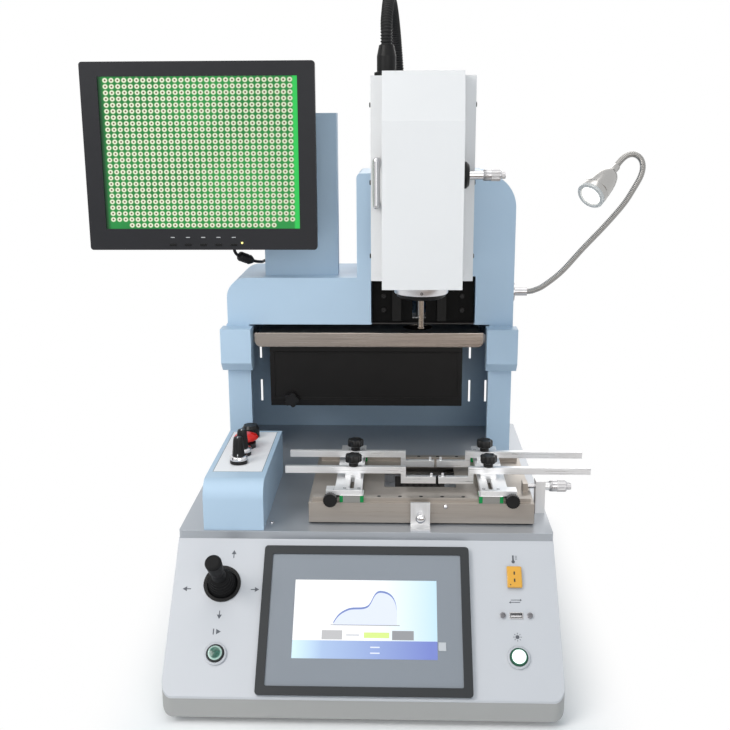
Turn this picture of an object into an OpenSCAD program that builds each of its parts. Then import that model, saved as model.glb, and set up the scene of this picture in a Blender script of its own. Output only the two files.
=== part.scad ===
// Bench rework station for ball-grid chips: hot-air head on a motor lift, board holder, optics drawer
// Millimetres. X to the right, Y to the rear, Z up, origin under the middle of the base.

/* [Base] */
// Width of the base
base_w = 420; // [410:1:460]
// Depth of the base
base_d = 540; // [536:1:600]
// Height of the deck above the table
deck_z = 164; // [158:1:190]
// Height of the deck's folded edge
deck_t = 9; // [6:1:12]
// Height of the lip below the sloping panel
lip_h = 24; // [18:1:26]
// Lean of the control panel from upright
panel_lean = 45; // [42:1:47]
// Radius of the base's corners
base_r = 12; // [6:1:16]
// Thickness of the sheet metal
sheet_t = 2; // [1.5:0.1:2.5]
// Height of the rubber feet
foot_h = 8; // [5:1:12]
// Diameter of the rubber feet
foot_d = 32; // [24:1:40]

/* [Control panel] */
// Width of the touch panel
hmi_w = 226; // [200:1:240]
// Height of the touch panel along the slope
hmi_h = 163; // [150:1:164]
// Width of the touch panel's dark border
hmi_border = 9.5; // [6:0.5:12]
// How far the touch panel stands proud
hmi_proud = 6; // [5:0.5:10]
// Width of the display
display_w = 154; // [140:1:160]
// Height of the display
display_h = 86; // [70:1:92]
// Distance of the left controls from the middle
left_controls_x = 156; // [150:1:165]
// Distance of the right controls from the middle
right_controls_x = 164; // [150:1:170]
// Distance of the joystick down the slope
joystick_u = 53; // [45:1:60]
// Distance of the push buttons down the slope
button_u = 130; // [120:1:140]
// Distance of the thermocouple socket down the slope
thermo_u = 43; // [30:1:46]
// Distance of the data socket down the slope
data_u = 85; // [75:1:95]
// Diameter of the push buttons
button_d = 19; // [16:1:22]
// Travel of the push buttons
button_travel = 2.5; // [1.5:0.5:3]
// Height of the joystick above the panel
stick_len = 68; // [60:1:80]
// Diameter of the joystick's rubber bellows
boot_d = 29; // [26:1:30]
// Diameter of the joystick's grip
grip_d = 18; // [14:1:20]

/* [Control pod] */
// Width of the pod
pod_w = 68; // [64:1:72]
// Depth of the pod
pod_d = 194; // [190:1:210]
// Height of the pod
pod_h = 56; // [46:1:58]
// Distance of the pod's middle left of the base's middle
pod_x = 148; // [146:1:152]
// Radius of the pod's front edge
pod_r = 20; // [10:1:26]
// Thickness of the pod's inset panel
pod_panel_t = 1.5; // [1:0.1:2]
// Diameter of the dimmer knobs' skirt
dimmer_d = 21; // [18:1:22]
// Height of the dimmer knobs
dimmer_h = 32; // [26:1:36]
// Diameter of the emergency stop
stop_d = 30; // [26:1:32]
// Travel of the emergency stop
stop_travel = 3.5; // [2:0.5:4]
// Diameter of the rear pod knob
pod_knob_d = 22; // [18:1:24]

/* [Rear frame] */
// Width of the rear frame
portal_w = 383; // [381:1:388]
// Depth of the rear frame
portal_d = 136; // [134:1:142]
// Height of the rear frame
portal_h = 182; // [181:1:190]
// Width of each column
column_w = 31; // [26:1:31]
// Sideways offset of the rear frame
portal_x = -3; // [-4:1:0]
// Height of the drawer guide covers
guide_h = 58; // [50:1:70]
// How far the guide covers stand forward
guide_d = 25; // [20:1:30]

/* [Upper casing] */
// Height of the casing's left wing
wing_h = 63; // [60:1:75]
// Height of the tower
tower_h = 199; // [197:1:215]
// Width of the tower
tower_w = 207; // [200:1:215]
// Radius of the wing's corner
wing_r = 27; // [15:1:40]
// Radius of the tower's corner
tower_r = 45; // [30:1:50]
// Width of the black slide plate
slide_w = 136; // [120:1:140]

/* [Head] */
// Sideways place of the head
head_x = 64; // [62:1:66]
// Width of the head's front cover
cover_w = 90; // [80:1:96]
// Depth of the head's front cover
cover_d = 66; // [62:1:70]
// Height of the head's front cover
cover_h = 237; // [231:1:245]
// How far the cover's top leans back
cover_lean = 16; // [8:1:24]
// Width of the head's rear box
head_w = 120; // [110:1:124]
// Depth of the head's rear box
head_d = 121; // [115:1:126]
// Height of the head's rear box
head_h = 227; // [218:1:229]
// Height of the head above the casing's floor
head_rise = 81; // [80:1:90]
// Diameter of the suction nozzle
nozzle_d = 8; // [5:0.5:9]
// Length of the suction nozzle below the collar
nozzle_len = 37; // [30:1:38]
// Diameter of the collar round the nozzle
collar_d = 62; // [50:1:64]
// Height of the collar
collar_h = 16; // [12:1:17]
// Diameter of the lift screw
screw_d = 8; // [6:0.5:10]

/* [Optics drawer] */
// Gap between the optics box and the tray's sides
optics_gap = 15.9; // [14:0.1:24]
// Height of the optics box
optics_h = 94; // [80:1:95]
// Depth of the optics box
optics_d = 124; // [110:1:126]
// Height of the tray's steel front
flange_h = 19; // [16:1:24]
// Gap between the tray's ends and the guide covers
flange_gap = 3.5; // [3:0.5:6]
// Diameter of the drawer's star knob
star_d = 20; // [16:1:24]

/* [Monitor] */
// Width of the monitor
monitor_w = 294; // [280:1:300]
// Height of the monitor
monitor_h = 234; // [225:1:240]
// Thickness of the monitor's front frame
bezel_t = 10; // [8:1:12]
// Width of the frame beside the screen
bezel_side = 22; // [18:1:26]
// Width of the frame above the screen
bezel_top = 18; // [14:1:22]
// Width of the frame below the screen
bezel_low = 27; // [22:1:30]
// Distance of the monitor's middle left of the base's middle
monitor_x = 215; // [210:1:218]
// Height of the monitor's middle above the wing
monitor_rise = 158; // [155:1:170]
// Width of the monitor's post
post_w = 98; // [90:1:100]
// Height of the monitor's post
post_h = 212; // [205:1:230]
// Thickness of the monitor's post
post_t = 30; // [24:1:34]

/* [Board holder] */
// Width of the board holder's box
stage_w = 256; // [252:1:258]
// Depth of the board holder's box
stage_d = 163; // [160:1:168]
// Height of the board holder's box
stage_h = 24; // [22:1:28]
// Width of the heater window
window_w = 85; // [80:1:92]
// Depth of the heater window
window_d = 72; // [66:1:76]
// Distance of each clamp slot from the work axis
slot_off = 79; // [78:1:82]
// Length of a board arm
arm_len = 177; // [170:1:178]
// Height of a board arm
arm_h = 8; // [7:0.5:9]
// Depth of a board arm
arm_t = 6; // [6:0.5:8]
// Drop of the arm's finger
crank_drop = 12; // [10:1:13]
// Length of the arm's finger
finger_len = 35; // [28:1:36]
// Diameter of the clamp knobs
clamp_d = 18; // [14:1:19]
// Diameter of the micrometers' thimbles
thimble_d = 13; // [12.5:0.5:15]

/* [Lamp] */
// Diameter of the lamp's neck
neck_d = 8; // [7:0.5:9]
// Diameter of the lamp's head
lamp_d = 36; // [30:1:40]
// Length of the lamp's head
lamp_len = 62; // [55:1:70]

/* [Hidden] */
$fn = 48;

// Clearances and small overlaps of cuts
run_gap = 0.3;
fit_gap = 0.05;
over = 1;

// Planes of the base
base_x = base_w / 2;
front_y = -base_d / 2;
rear_y = base_d / 2;
shell_top = deck_z - deck_t;
shell_floor = foot_h + sheet_t;
lip_top = foot_h + lip_h;
panel_rise = shell_top - lip_top;
panel_run = panel_rise * tan(panel_lean);
panel_len = panel_rise / cos(panel_lean);
deck_front = front_y + panel_run;
panel_shift = sheet_t / cos(panel_lean);
foot_inset_x = 45;
foot_inset_y = 50;

// Power supply and blower in the base
supply_w = 160;
supply_d = 100;
supply_h = 50;
supply_x = 10;
supply_y = 20;
blower_x = 90;
blower_y = 80;
blower_d = 96;
blower_h = 60;
blower_neck = 14;

// Vent slots, and the power inlet in the rear wall
vent_w = 4;
vent_r = 1.5;
vent_pitch = 10;
base_vent_tall = 44;
base_vent_y = rear_y - 100;
base_vent_z = (shell_floor + shell_top) / 2;
inlet_x = base_x - 80;
inlet_z = shell_floor + 50;
inlet_w = 28;
inlet_h = 34;
inlet_deep = 24;
inlet_lip = 4;
inlet_lip_t = 2;

// Touch panel
hmi_x = 2;
hmi_u = panel_len - hmi_h / 2 - 1;
hmi_lap = 7;
hmi_deep = 35;
hmi_face_w = hmi_w - 2 * hmi_border;
hmi_face_h = hmi_h - 2 * hmi_border;
face_t = 2;
face_sunk = 1.5;
glass_t = 1.2;

// Joystick: a ball in a gimbal ring under the panel
ball_r = 18;
pivot_deep = 9;
stick_hole_r = ball_r - 1;
yoke_in = ball_r + 0.6;
yoke_out = yoke_in + 3.4;
yoke_t = 3;
gimbal_pin_r = 1.5;
cup_in = yoke_out + 3;
cup_out = cup_in + 3;
cup_deep = pivot_deep + ball_r + 3;
boot_foot = 6.5;
boot_ribs = 4;
boot_pitch = 4.5;
boot_shrink = 1.3;
grip_len = 32;

// Push buttons
bezel_r = button_d / 2 + 2.5;
sleeve_r = button_d / 2 + 1.6;
sleeve_deep = 20;
bezel_h = 3;
cap_proud = button_travel + 2.5;
cap_deep = 10;

// Sockets of the front panel
thermo_w = 15;
thermo_h = 23;
data_w = 14.5;
data_h = 7;
data_screw_x = 14.5;

// Control pod
pod_wall = pod_panel_t + 1.2;
pod_front = deck_front + 3;
pod_rear = pod_front + pod_d;
pod_x0 = -pod_x - pod_w / 2;
pod_x1 = pod_x0 + pod_w;
pod_top = deck_z + pod_h;
pod_rim = 6;
pod_panel_y = pod_front + pod_r + 18;
pod_row_x = -pod_x - 3;
pod_pitch = 30;
dimmer_y = pod_front + 68;
stop_y = dimmer_y + 2 * pod_pitch;
pod_knob_y = stop_y + 40;
shaft_r = 3;
shaft_deep = 10;
collar_r = 12;
collar_up = 6;
stop_lift = collar_up + stop_travel + 0.5;
stop_head = 7.5;
pod_knob_h = 16;

// Rear frame
portal_rear = rear_y - 10;
portal_front = portal_rear - portal_d;
portal_x0 = portal_x - portal_w / 2;
portal_x1 = portal_x + portal_w / 2;
col_top = deck_z + portal_h;
bay_half = portal_w / 2 - column_w;
return_d = 14;
guide_in = bay_half - 4.75;
guide_out = portal_w / 2 + 4.75;
guide_top = col_top - 2;
guide_chamfer = 12;
slot_rows = [deck_z + 38, deck_z + 104];
slot_tall = 33;
wall_slot_in = 22.5;
wall_slot_pitch = 24;
wall_slot_x = [portal_x0 + wall_slot_in + 4, portal_x1 - wall_slot_in - wall_slot_pitch,
    portal_x1 - wall_slot_in];
wall_slot_w = 3;
guide_seat = sheet_t / 2;

// Drawer and its runners
tray_top = col_top - 9;
tray_t = 2;
drawer_front = portal_front - 12;
runner_h = 12;
runner_t = 4;
runner_z = tray_top - tray_t - 2 - runner_h;
runner_back = portal_rear - sheet_t;
fixed_in = guide_in - 0.25;
middle_out = fixed_in - run_gap;
middle_in = middle_out - runner_t;
slide_out = middle_in - run_gap;
slide_in = slide_out - runner_t;
flange_half = guide_in - flange_gap;
flange_r = 8;
tray_back = drawer_front + optics_d + 4;
tray_lip = 2;
optics_x = portal_x - 4;
optics_w = 2 * (slide_in - tray_lip - optics_gap);
optics_top = tray_top - tray_t;
optics_z = optics_top - optics_h;
optics_front = drawer_front + 4;
lens_d = 40;
lens_y = drawer_front + 40;
star_in = 29;
star_x = optics_x - optics_w / 2 + star_in;
star_up = 5;
star_deep = 12;

// Upper casing
casing_x0 = portal_x0 + 2;
casing_x1 = portal_x1;
tower_x0 = casing_x1 - tower_w;
wing_top = col_top + wing_h;
tower_top = col_top + tower_h;
tower_edge_r = 6;
casing_floor = col_top + sheet_t;
slide_x = head_x + 5;
lift_half = 48;

// Lift: rails, screw, motor and belt behind the slide plate
plate_front = portal_front + 10;
plate_t = 6;
plate_back = plate_front + plate_t;
rail_w = 12;
rail_t = 7;
rail_off = 30;
rail_front = plate_front - rail_t;
screw_y = plate_back + 20;
bearing_t = 4;
pulley_h = 5;
pulley_r = 10;
belt_t = 1.2;
drive_top = tower_top - sheet_t - 0.5;
pulley_z = drive_top - pulley_h;
bearing_z = pulley_z - bearing_t - 0.5;
block_t = 5;
block_half = 14;
motor_w = 42;
motor_h = 43;
motor_off_x = 50;
motor_off_y = 26;
motor_x = head_x + motor_off_x;
motor_y = screw_y + motor_off_y;
motor_shaft_r = 2.5;
nut_slot = 9;
nut_half = 8;
bracket_h = 28;
bracket_z = bearing_z - bracket_h + 3;
nut_h = 20;
nut_z = bearing_z - nut_h - 1;

// Head
head_z = col_top + head_rise;
head_rear = portal_front - 18;
head_front = head_rear - head_d - cover_d;
box_front = head_front + cover_d;
box_z = head_z + 7;
box_top = box_z + head_h;
cover_top = head_z + cover_h;
cover_bend = cover_top - 53;
nozzle_x = head_x - 1;
nozzle_y = head_front + 45;
nozzle_r = nozzle_d / 2;
stem_r = nozzle_r - 0.5;
collar_z = head_z - collar_h;
nozzle_tip = collar_z - nozzle_len;
nozzle_top = head_z + 10;
cover_x1 = nozzle_x + cover_w / 2;
core_d = 2 * (box_front - nozzle_y);
core_z = head_z + 14;
core_h = 130;
hose_x = head_x - 42;
hose_y = box_front + 19;
connector_d = 22;
connector_h = 34;
handle_x = (head_x - head_w / 2 + nozzle_x - cover_w / 2) / 2;
handle_z = head_z + 90;
handle_span = 50;
handle_r = 4;
handle_out = 22;
dial_rise = 124;
dial_z = head_z + dial_rise;
dial_d = 30;
dial_t = 8;
sleeve_out = thimble_d / 2 - 1.5;
spindle_r = 3;
dial_sleeve = 24;
head_thimble_x = cover_x1 + dial_t + dial_sleeve - 8;

// Hose: route of its middle line from the head's connector to the gland on the tower
hose_d = 14;
gland_h = 12;
gland_x = 38;
gland_y = 154;
hose_points = [[22, 4, 695.4], [22, 4, 702], [22, 5, 711], [22, 10, 722], [23, 20, 735],
    [24, 39, 747], [25, 60, 751], [27, 84, 748], [29, 107, 738], [31, 127, 723], [33, 141, 704],
    [35, 151, 681], [37, 154, 657], [38, 154, 630], [38, 154, 600], [38, 154, 575], [38, 154, 557]];

// Monitor, its post and its lead
post_x = 94;
post_y = portal_front + 25;
arm_z = wing_top + monitor_rise;
arm_plate_t = 6;
arm_plate_h = 40;
monitor_front = post_y - 55;
back_y = monitor_front + bezel_t;
back_edge = back_y + 16;
back_bulge = back_y + 30;
bulge_w = 140;
bulge_h = 110;
tilt_y = back_bulge + 4.5;
knuckle_r = 4.2;
knuckle_w = 46;
ear_w = 6;
ear_off = (knuckle_w + ear_w) / 2 + run_gap;
tilt_pin_r = 2.5;
screen_w = monitor_w - 2 * bezel_side;
screen_h = monitor_h - bezel_top - bezel_low;
screen_shift = (bezel_low - bezel_top) / 2;
lead_d = 4;
lead_points = [[-178, 112, 451.7], [-178, 113, 446], [-175, 118, 440], [-168, 124, 436], [-160, 130, 432],
    [-153, 138, 429], [-149, 150, 427], [-149, 165, 425], [-147, 178, 425], [-141, 188, 425],
    [-132, 194, 424], [-124, 198, 422], [-120.5, 200, 419], [-120, 200, 416], [-120, 200, 413.4]];
grommet_h = 4;
grommet_r = 6;
lead_end = lead_points[len(lead_points) - 1];
connector_a = [-174, 119.5, 439.2];
connector_b = [-157, 133, 430.4];
connector_r = 6.5;

// Lamp: places from its socket on the tower's side
lamp_x = casing_x1;
lamp_y = portal_front + 25;
lamp_z = col_top + 41;
socket_t = 3;
socket_d = 26;
ferrule_len = 17;
ferrule_r = neck_d / 2 + 2;
neck_points = [[20, 0, 0], [25, 0, 0.3], [31, 0, 2], [43, 0, 8], [66, 0, 27], [92, 0, 57],
    [121, 0, 89], [143, 0, 116], [155, 0, 136], [163, 0, 152], [165, 0, 165], [161, 0, 175],
    [152, -1, 180], [142, -4, 178], [133, -10, 171], [126, -17, 163]];
lamp_aim = [-0.60, -0.60, -0.53];

// Board holder
deck_gap = 2;
stage_x0 = nozzle_x - stage_w / 2;
stage_x1 = nozzle_x + stage_w / 2;
stage_y0 = nozzle_y - 88;
stage_y1 = stage_y0 + stage_d;
stage_z0 = deck_z + deck_gap;
stage_top = stage_z0 + stage_h;
guide_bar_h = 10;
guide_bar_w = 12;
guide_bar_y = [stage_y0 + 24, stage_y1 - 19];
runner_x = [nozzle_x - 73, nozzle_x + 73];
runner_half = 15;
x_rail_w = 9;
x_rail_h = 5;
x_rail_y = [stage_y0 + 8, stage_y1 - 14];
row_holes = 9;
row_pitch = 24;
row_hole_r = 1.8;
anvil_x = stage_x1 - 9;
anvil_t = 6;
mic_y = nozzle_y - 43;
mic_z = stage_top + 5;
stand_x = stage_x1 + 6;
stand_t = 11;
mic_sleeve = 14;
mic_travel = 5;
thimble_x = stand_x + stand_t + mic_travel + 0.5;
thimble_len = 20;
ratchet_r = 4;
ratchet_len = 5;
heater_w = 60;
heater_d = 50;
heater_h = stage_h - 7;
bracket_x = nozzle_x - 1;
bracket_w = 22;
bracket_t = 3;
bracket_y = stage_y0 - 7;
lock_screw_z = deck_z + 14;
lock_screw_d = 9;
lock_screw_len = 11;

// Carriages and board arms
block_w = 18;
block_l = 27;
block_z = stage_top + 0.4;
plate_z = stage_top + x_rail_h + 4;
slot_plate_t = 6;
plate_top = plate_z + slot_plate_t;
plate_inner = 12;
plate_outer = 19;
tab_outer = 29;
tab_d = 14;
slot_w = 5;
tongue_w = slot_w - 2 * run_gap;
slider_h = 4;
arm_z0 = plate_top + slider_h;
arm_top = arm_z0 + arm_h;
arm_y_front = nozzle_y - 40;
arm_y_rear = nozzle_y + 18;
arm_reach = 159;
left_end = nozzle_x - arm_reach;
right_end = left_end + 2 * arm_len + 3;
stud_r = 2;
clamp_neck = 4;
clamp_head = 9;
lock_off = slot_off + 24;
lock_d = 16;
lock_t = 6;
lock_face = stage_y0 - 1;
lock_z = plate_z - 4.3;
lock_stud = x_rail_y[0] - x_rail_w / 2 - lock_face;
lug_half = 5;

// A block between two opposite corners
module block(a, b) {
    translate(a) cube(b - a);
}

// Flat outline with round corners, centred
module rounded(w, h, r) {
    square([w - 2 * r, h], center = true);
    square([w, h - 2 * r], center = true);
    for (sx = [-1, 1], sy = [-1, 1]) translate([sx * (w / 2 - r), sy * (h / 2 - r)]) circle(r);
}

// Straight run with round ends between two points of a plane
module stadium(a, b, r) {
    d = b - a;
    translate(a) rotate(atan2(d[1], d[0])) translate([0, -r]) square([norm(d), 2 * r]);
    translate(a) circle(r);
    translate(b) circle(r);
}

// Extrusion along X of an outline drawn as Y and Z
module along_x(x0, x1) {
    rotate([90, 0, 90]) translate([0, 0, x0]) linear_extrude(x1 - x0) children();
}

// Extrusion along Y of an outline drawn as X and Z
module along_y(y0, y1) {
    rotate([90, 0, 0]) translate([0, 0, -y1]) linear_extrude(y1 - y0) children();
}

// Round bar along X, Y or Z from a point
module bar_x(p, r, l) {
    translate(p) rotate([0, 90, 0]) cylinder(r = r, h = l);
}

module bar_y(p, r, l) {
    translate(p) rotate([-90, 0, 0]) cylinder(r = r, h = l);
}

module bar_z(p, r, l) {
    translate(p) cylinder(r = r, h = l);
}

// Place on the sloping panel: x across, u down the slope, children's Z outwards
module on_panel(x, u) {
    translate([x, deck_front - u * sin(panel_lean), shell_top - u * cos(panel_lean)])
        rotate([90 - panel_lean, 0, 0]) children();
}

// Smooth curve through points, n steps between neighbours
function spline(a, b, c, d, t) =
    (2 * b + (c - a) * t + (2 * a - 5 * b + 4 * c - d) * t * t + (3 * b - a - 3 * c + d) * t * t * t) / 2;
function curve(p, n) = [
    for (i = [0:len(p) - 2]) for (k = [0:n - 1])
        spline(p[max(i - 1, 0)], p[i], p[i + 1], p[min(i + 2, len(p) - 1)], k / n),
    p[len(p) - 1]];
function unit(v) = v / norm(v);
function tangent(p, i) = unit(p[min(i + 1, len(p) - 1)] - p[max(i - 1, 0)]);

// Tube along a path that keeps clear of the side direction
module swept_tube(path, d, sides, side) {
    last = len(path) - 1;
    points = [
        for (i = [0:last])
            let (t = tangent(path, i), u = unit(cross(t, side)), v = cross(t, u))
                for (k = [0:sides - 1])
                    path[i] + d / 2 * (cos(360 * k / sides) * u + sin(360 * k / sides) * v)];
    walls = [
        for (i = [0:last - 1]) for (k = [0:sides - 1])
            let (n = (k + 1) % sides)
                [i * sides + k, (i + 1) * sides + k, (i + 1) * sides + n, i * sides + n]];
    near = [for (k = [0:sides - 1]) k];
    far = [for (k = [0:sides - 1]) last * sides + sides - 1 - k];
    polyhedron(points, concat([near], walls, [far]));
}

// Turn children's Z to a direction at a point
module aimed(p, v) {
    translate(p) rotate([0, acos(v[2] / norm(v)), atan2(v[1], v[0])]) children();
}

// Knob outline with round lobes
module lobes(d, count, lobe_r) {
    circle(d / 2 - lobe_r * 0.7);
    for (k = [0:count - 1]) rotate(360 * k / count) translate([d / 2 - lobe_r, 0]) circle(lobe_r);
}

// Knob outline with round flutes
module flutes(d, count, flute_r) {
    difference() {
        circle(d / 2);
        for (k = [0:count - 1])
            rotate(360 * k / count) translate([d / 2 + flute_r * 0.4, 0]) circle(flute_r);
    }
}

// Tall block with the base's round corners, drawn in from its faces
module base_block(i) {
    tall = 2 * deck_z;
    intersection() {
        linear_extrude(tall) rounded(base_w - 2 * i, base_d - 2 * i, base_r - i);
        along_y(front_y, rear_y)
            translate([0, foot_h + i + tall / 2]) rounded(base_w - 2 * i, tall, base_r - i);
    }
}

// Row of upright slots, drawn about its middle
module vent_row(count, tall) {
    for (k = [0:count - 1])
        translate([(k - (count - 1) / 2) * vent_pitch, 0]) rounded(vent_w, tall, vent_r);
}

module base_shell() {
    color([0.72, 0.72, 0.72]) difference() {
        intersection() {
            along_x(-base_x, base_x) polygon([
                [front_y, 0], [rear_y, 0], [rear_y, shell_top], [deck_front + panel_shift, shell_top],
                [front_y, lip_top - panel_shift / tan(panel_lean)]]);
            base_block(0);
        }
        base_block(sheet_t);
        along_x(-base_x - over, base_x + over) translate([base_vent_y, base_vent_z])
            vent_row(9, base_vent_tall);
        along_y(rear_y - sheet_t - over, rear_y + over) {
            translate([-inlet_x, base_vent_z]) vent_row(9, base_vent_tall);
            translate([inlet_x, inlet_z]) square([inlet_w + run_gap, inlet_h + run_gap], center = true);
        }
    }
}

// Mains inlet with three pins in the base's rear wall
module power_inlet() {
    pin_t = 2;
    pin_h = 5;
    translate([inlet_x, rear_y, inlet_z]) {
        difference() {
            union() {
                along_y(0, inlet_lip_t) rounded(inlet_w + 2 * inlet_lip, inlet_h + 2 * inlet_lip, 4);
                along_y(-inlet_deep, over) square([inlet_w, inlet_h], center = true);
            }
            along_y(-inlet_deep + 4, inlet_lip_t + over) rounded(inlet_w - 4, inlet_h - 12, 4);
        }
        for (pin = [[-7, -2], [0, 3], [7, -2]])
            along_y(-inlet_deep + 3, -4) translate(pin) square([pin_t, pin_h], center = true);
    }
}

module front_panel() {
    color([0.79, 0.79, 0.8]) difference() {
        intersection() {
            along_x(-base_x, base_x) polygon([
                [deck_front, shell_top], [deck_front + panel_shift, shell_top],
                [front_y, lip_top - panel_shift / tan(panel_lean)], [front_y, lip_top]]);
            linear_extrude(deck_z) rounded(base_w, base_d, base_r);
        }
        on_panel(hmi_x, hmi_u)
            cube([hmi_w - 2 * hmi_lap, hmi_h - 2 * hmi_lap, 4 * sheet_t], center = true);
        on_panel(-left_controls_x, joystick_u) cylinder(r = stick_hole_r, h = 4 * sheet_t, center = true);
        for (x = [-left_controls_x, right_controls_x]) on_panel(x, button_u)
            cylinder(r = sleeve_r, h = 4 * sheet_t, center = true);
        on_panel(right_controls_x, data_u) cube([data_w, data_h, 4 * sheet_t], center = true);
    }
}

module deck_plate() {
    skirt = 3;
    depth = rear_y - deck_front;
    color([0.55, 0.56, 0.57]) difference() {
        translate([0, deck_front + depth / 2, shell_top])
            linear_extrude(deck_t) rounded(base_w, depth, base_r / 3);
        translate([0, deck_front + depth / 2, shell_top - over])
            linear_extrude(deck_t - sheet_t + over)
                square([base_w - 2 * skirt, depth - 2 * skirt - 2 * panel_shift], center = true);
    }
}

module rubber_feet() {
    color([0.1, 0.1, 0.1])
        for (sx = [-1, 1], sy = [-1, 1])
            translate([sx * (base_x - foot_inset_x), sy * (rear_y - foot_inset_y), 0])
                rotate_extrude() polygon([
                    [0, 0], [foot_d / 2 - 3, 0], [foot_d / 2 - 2, 1], [foot_d / 2, foot_h], [0, foot_h]]);
}

// Power supply and blower on the floor of the base
module electronics() {
    color([0.6, 0.6, 0.62]) {
        translate([-supply_w - supply_x, supply_y, shell_floor]) cube([supply_w, supply_d, supply_h]);
        translate([blower_x, blower_y, shell_floor]) {
            cylinder(d = blower_d, h = blower_h);
            translate([0, 0, blower_h]) cylinder(d = blower_d / 2, h = blower_neck);
        }
    }
}

module touch_panel_frame() {
    color([0.28, 0.28, 0.29]) on_panel(hmi_x, hmi_u) {
        difference() {
            union() {
                linear_extrude(hmi_proud) rounded(hmi_w, hmi_h, 4);
                translate([0, 0, -hmi_deep / 2 + over])
                    cube([hmi_w - 2 * hmi_lap - 1, hmi_h - 2 * hmi_lap - 1, hmi_deep], center = true);
            }
            translate([0, 0, hmi_proud - face_sunk - face_t])
                linear_extrude(hmi_proud) rounded(hmi_face_w, hmi_face_h, 2);
        }
        translate([0, 0, hmi_proud - face_sunk - face_t]) linear_extrude(face_t) difference() {
            rounded(hmi_face_w, hmi_face_h, 2);
            square([display_w, display_h], center = true);
        }
    }
}

module touch_panel_screen() {
    color([0.85, 0.88, 0.95]) on_panel(hmi_x, hmi_u)
        translate([0, 0, hmi_proud - face_sunk - face_t])
            linear_extrude(glass_t) square([display_w, display_h], center = true);
}

module joystick_housing() {
    color([0.1, 0.1, 0.1]) on_panel(-left_controls_x, joystick_u) {
        rotate_extrude() translate([stick_hole_r, 0]) square([3.5, 1.5]);
        difference() {
            translate([0, 0, -cup_deep - 2]) cylinder(r = cup_out, h = cup_deep + 2 - sheet_t);
            translate([0, 0, -cup_deep]) cylinder(r = cup_in, h = cup_deep);
            bar_x([-cup_out - over, 0, -pivot_deep], gimbal_pin_r + fit_gap, 2 * cup_out + 2 * over);
        }
    }
}

module joystick_yoke() {
    color([0.6, 0.6, 0.6]) on_panel(-left_controls_x, joystick_u) translate([0, 0, -pivot_deep]) {
        difference() {
            rotate_extrude() translate([yoke_in, -yoke_t / 2 - 0.6])
                square([yoke_out - yoke_in, yoke_t + 1.2]);
            bar_y([0, -cup_out, 0], gimbal_pin_r + fit_gap, 2 * cup_out);
        }
        bar_x([yoke_out - 1, 0, 0], gimbal_pin_r, cup_out - yoke_out);
        bar_x([-cup_out + 1, 0, 0], gimbal_pin_r, cup_out - yoke_out);
    }
}

module joystick_stick() {
    neck_z = boot_foot + boot_ribs * boot_pitch;
    grip_z = stick_len - grip_len;
    color([0.07, 0.07, 0.07]) on_panel(-left_controls_x, joystick_u) {
        translate([0, 0, -pivot_deep]) {
            sphere(ball_r);
            bar_y([0, -yoke_out + 0.3, 0], gimbal_pin_r, 2 * yoke_out - 0.6);
        }
        for (k = [0:boot_ribs - 1])
            translate([0, 0, boot_foot + k * boot_pitch]) rotate_extrude() polygon([
                [0, 0], [boot_d / 2 - 1 - k * boot_shrink, 0], [boot_d / 2 - k * boot_shrink, 1.2],
                [boot_d / 2 - k * boot_shrink, 2.6], [boot_d / 2 - 2 - k * boot_shrink, boot_pitch],
                [0, boot_pitch]]);
        translate([0, 0, neck_z]) cylinder(r1 = grip_d / 2 - 1, r2 = grip_d / 2 - 2.5, h = grip_z - neck_z);
        translate([0, 0, grip_z]) rotate_extrude() polygon([
            [0, 0], [grip_d / 2 - 2.5, 0], [grip_d / 2 - 0.8, grip_len * 0.3], [grip_d / 2, grip_len - 3],
            [grip_d / 2 - 1, grip_len - 0.8], [grip_d / 2 - 3, grip_len], [0, grip_len]]);
    }
}

module button_bezel() {
    bore_r = button_d / 2 + run_gap;
    rotate_extrude() {
        polygon([
            [bore_r, 0], [bezel_r, 0], [bezel_r, bezel_h - 1], [bore_r + 1, bezel_h], [bore_r, bezel_h]]);
        translate([bore_r, -sleeve_deep]) square([sleeve_r - bore_r, sleeve_deep]);
        translate([0, -sleeve_deep]) square([sleeve_r, sheet_t]);
    }
}

module thermocouple_socket() {
    difference() {
        translate([0, 0, 2]) cube([thermo_w, thermo_h, 4], center = true);
        for (s = [-1, 1]) translate([0, s * 4, 3]) cube([1.2, 3.2, 5], center = true);
    }
}

module data_socket() {
    difference() {
        translate([0, 0, -6]) cube([data_w, data_h, 14], center = true);
        translate([0, 0, 0]) cube([data_w - 1.6, data_h - 1.6, 20], center = true);
    }
    translate([0, -0.8, -5]) cube([data_w - 3, 2, 11], center = true);
    translate([0, 0, -12]) cube([data_w, data_h, 2], center = true);
    for (s = [-1, 1]) translate([s * data_screw_x, 0, 0]) cylinder(r = 2.8, h = 1.8);
}

module panel_fittings() {
    color([0.75, 0.75, 0.76]) {
        for (x = [-left_controls_x, right_controls_x]) on_panel(x, button_u) button_bezel();
        on_panel(right_controls_x, data_u) data_socket();
    }
    color([0.88, 0.64, 0.24]) on_panel(right_controls_x, thermo_u) thermocouple_socket();
    color([0.08, 0.08, 0.08]) power_inlet();
}

module push_cap() {
    rotate_extrude() polygon([
        [0, -cap_deep], [button_d / 2, -cap_deep], [button_d / 2, cap_proud - 1.2],
        [button_d / 2 - 1.2, cap_proud], [0, cap_proud]]);
}

module start_button() {
    color([0.1, 0.5, 0.35]) on_panel(-left_controls_x, button_u) push_cap();
}

module headlamp_button() {
    color([0.9, 1, 0.95]) on_panel(right_controls_x, button_u) push_cap();
}

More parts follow.
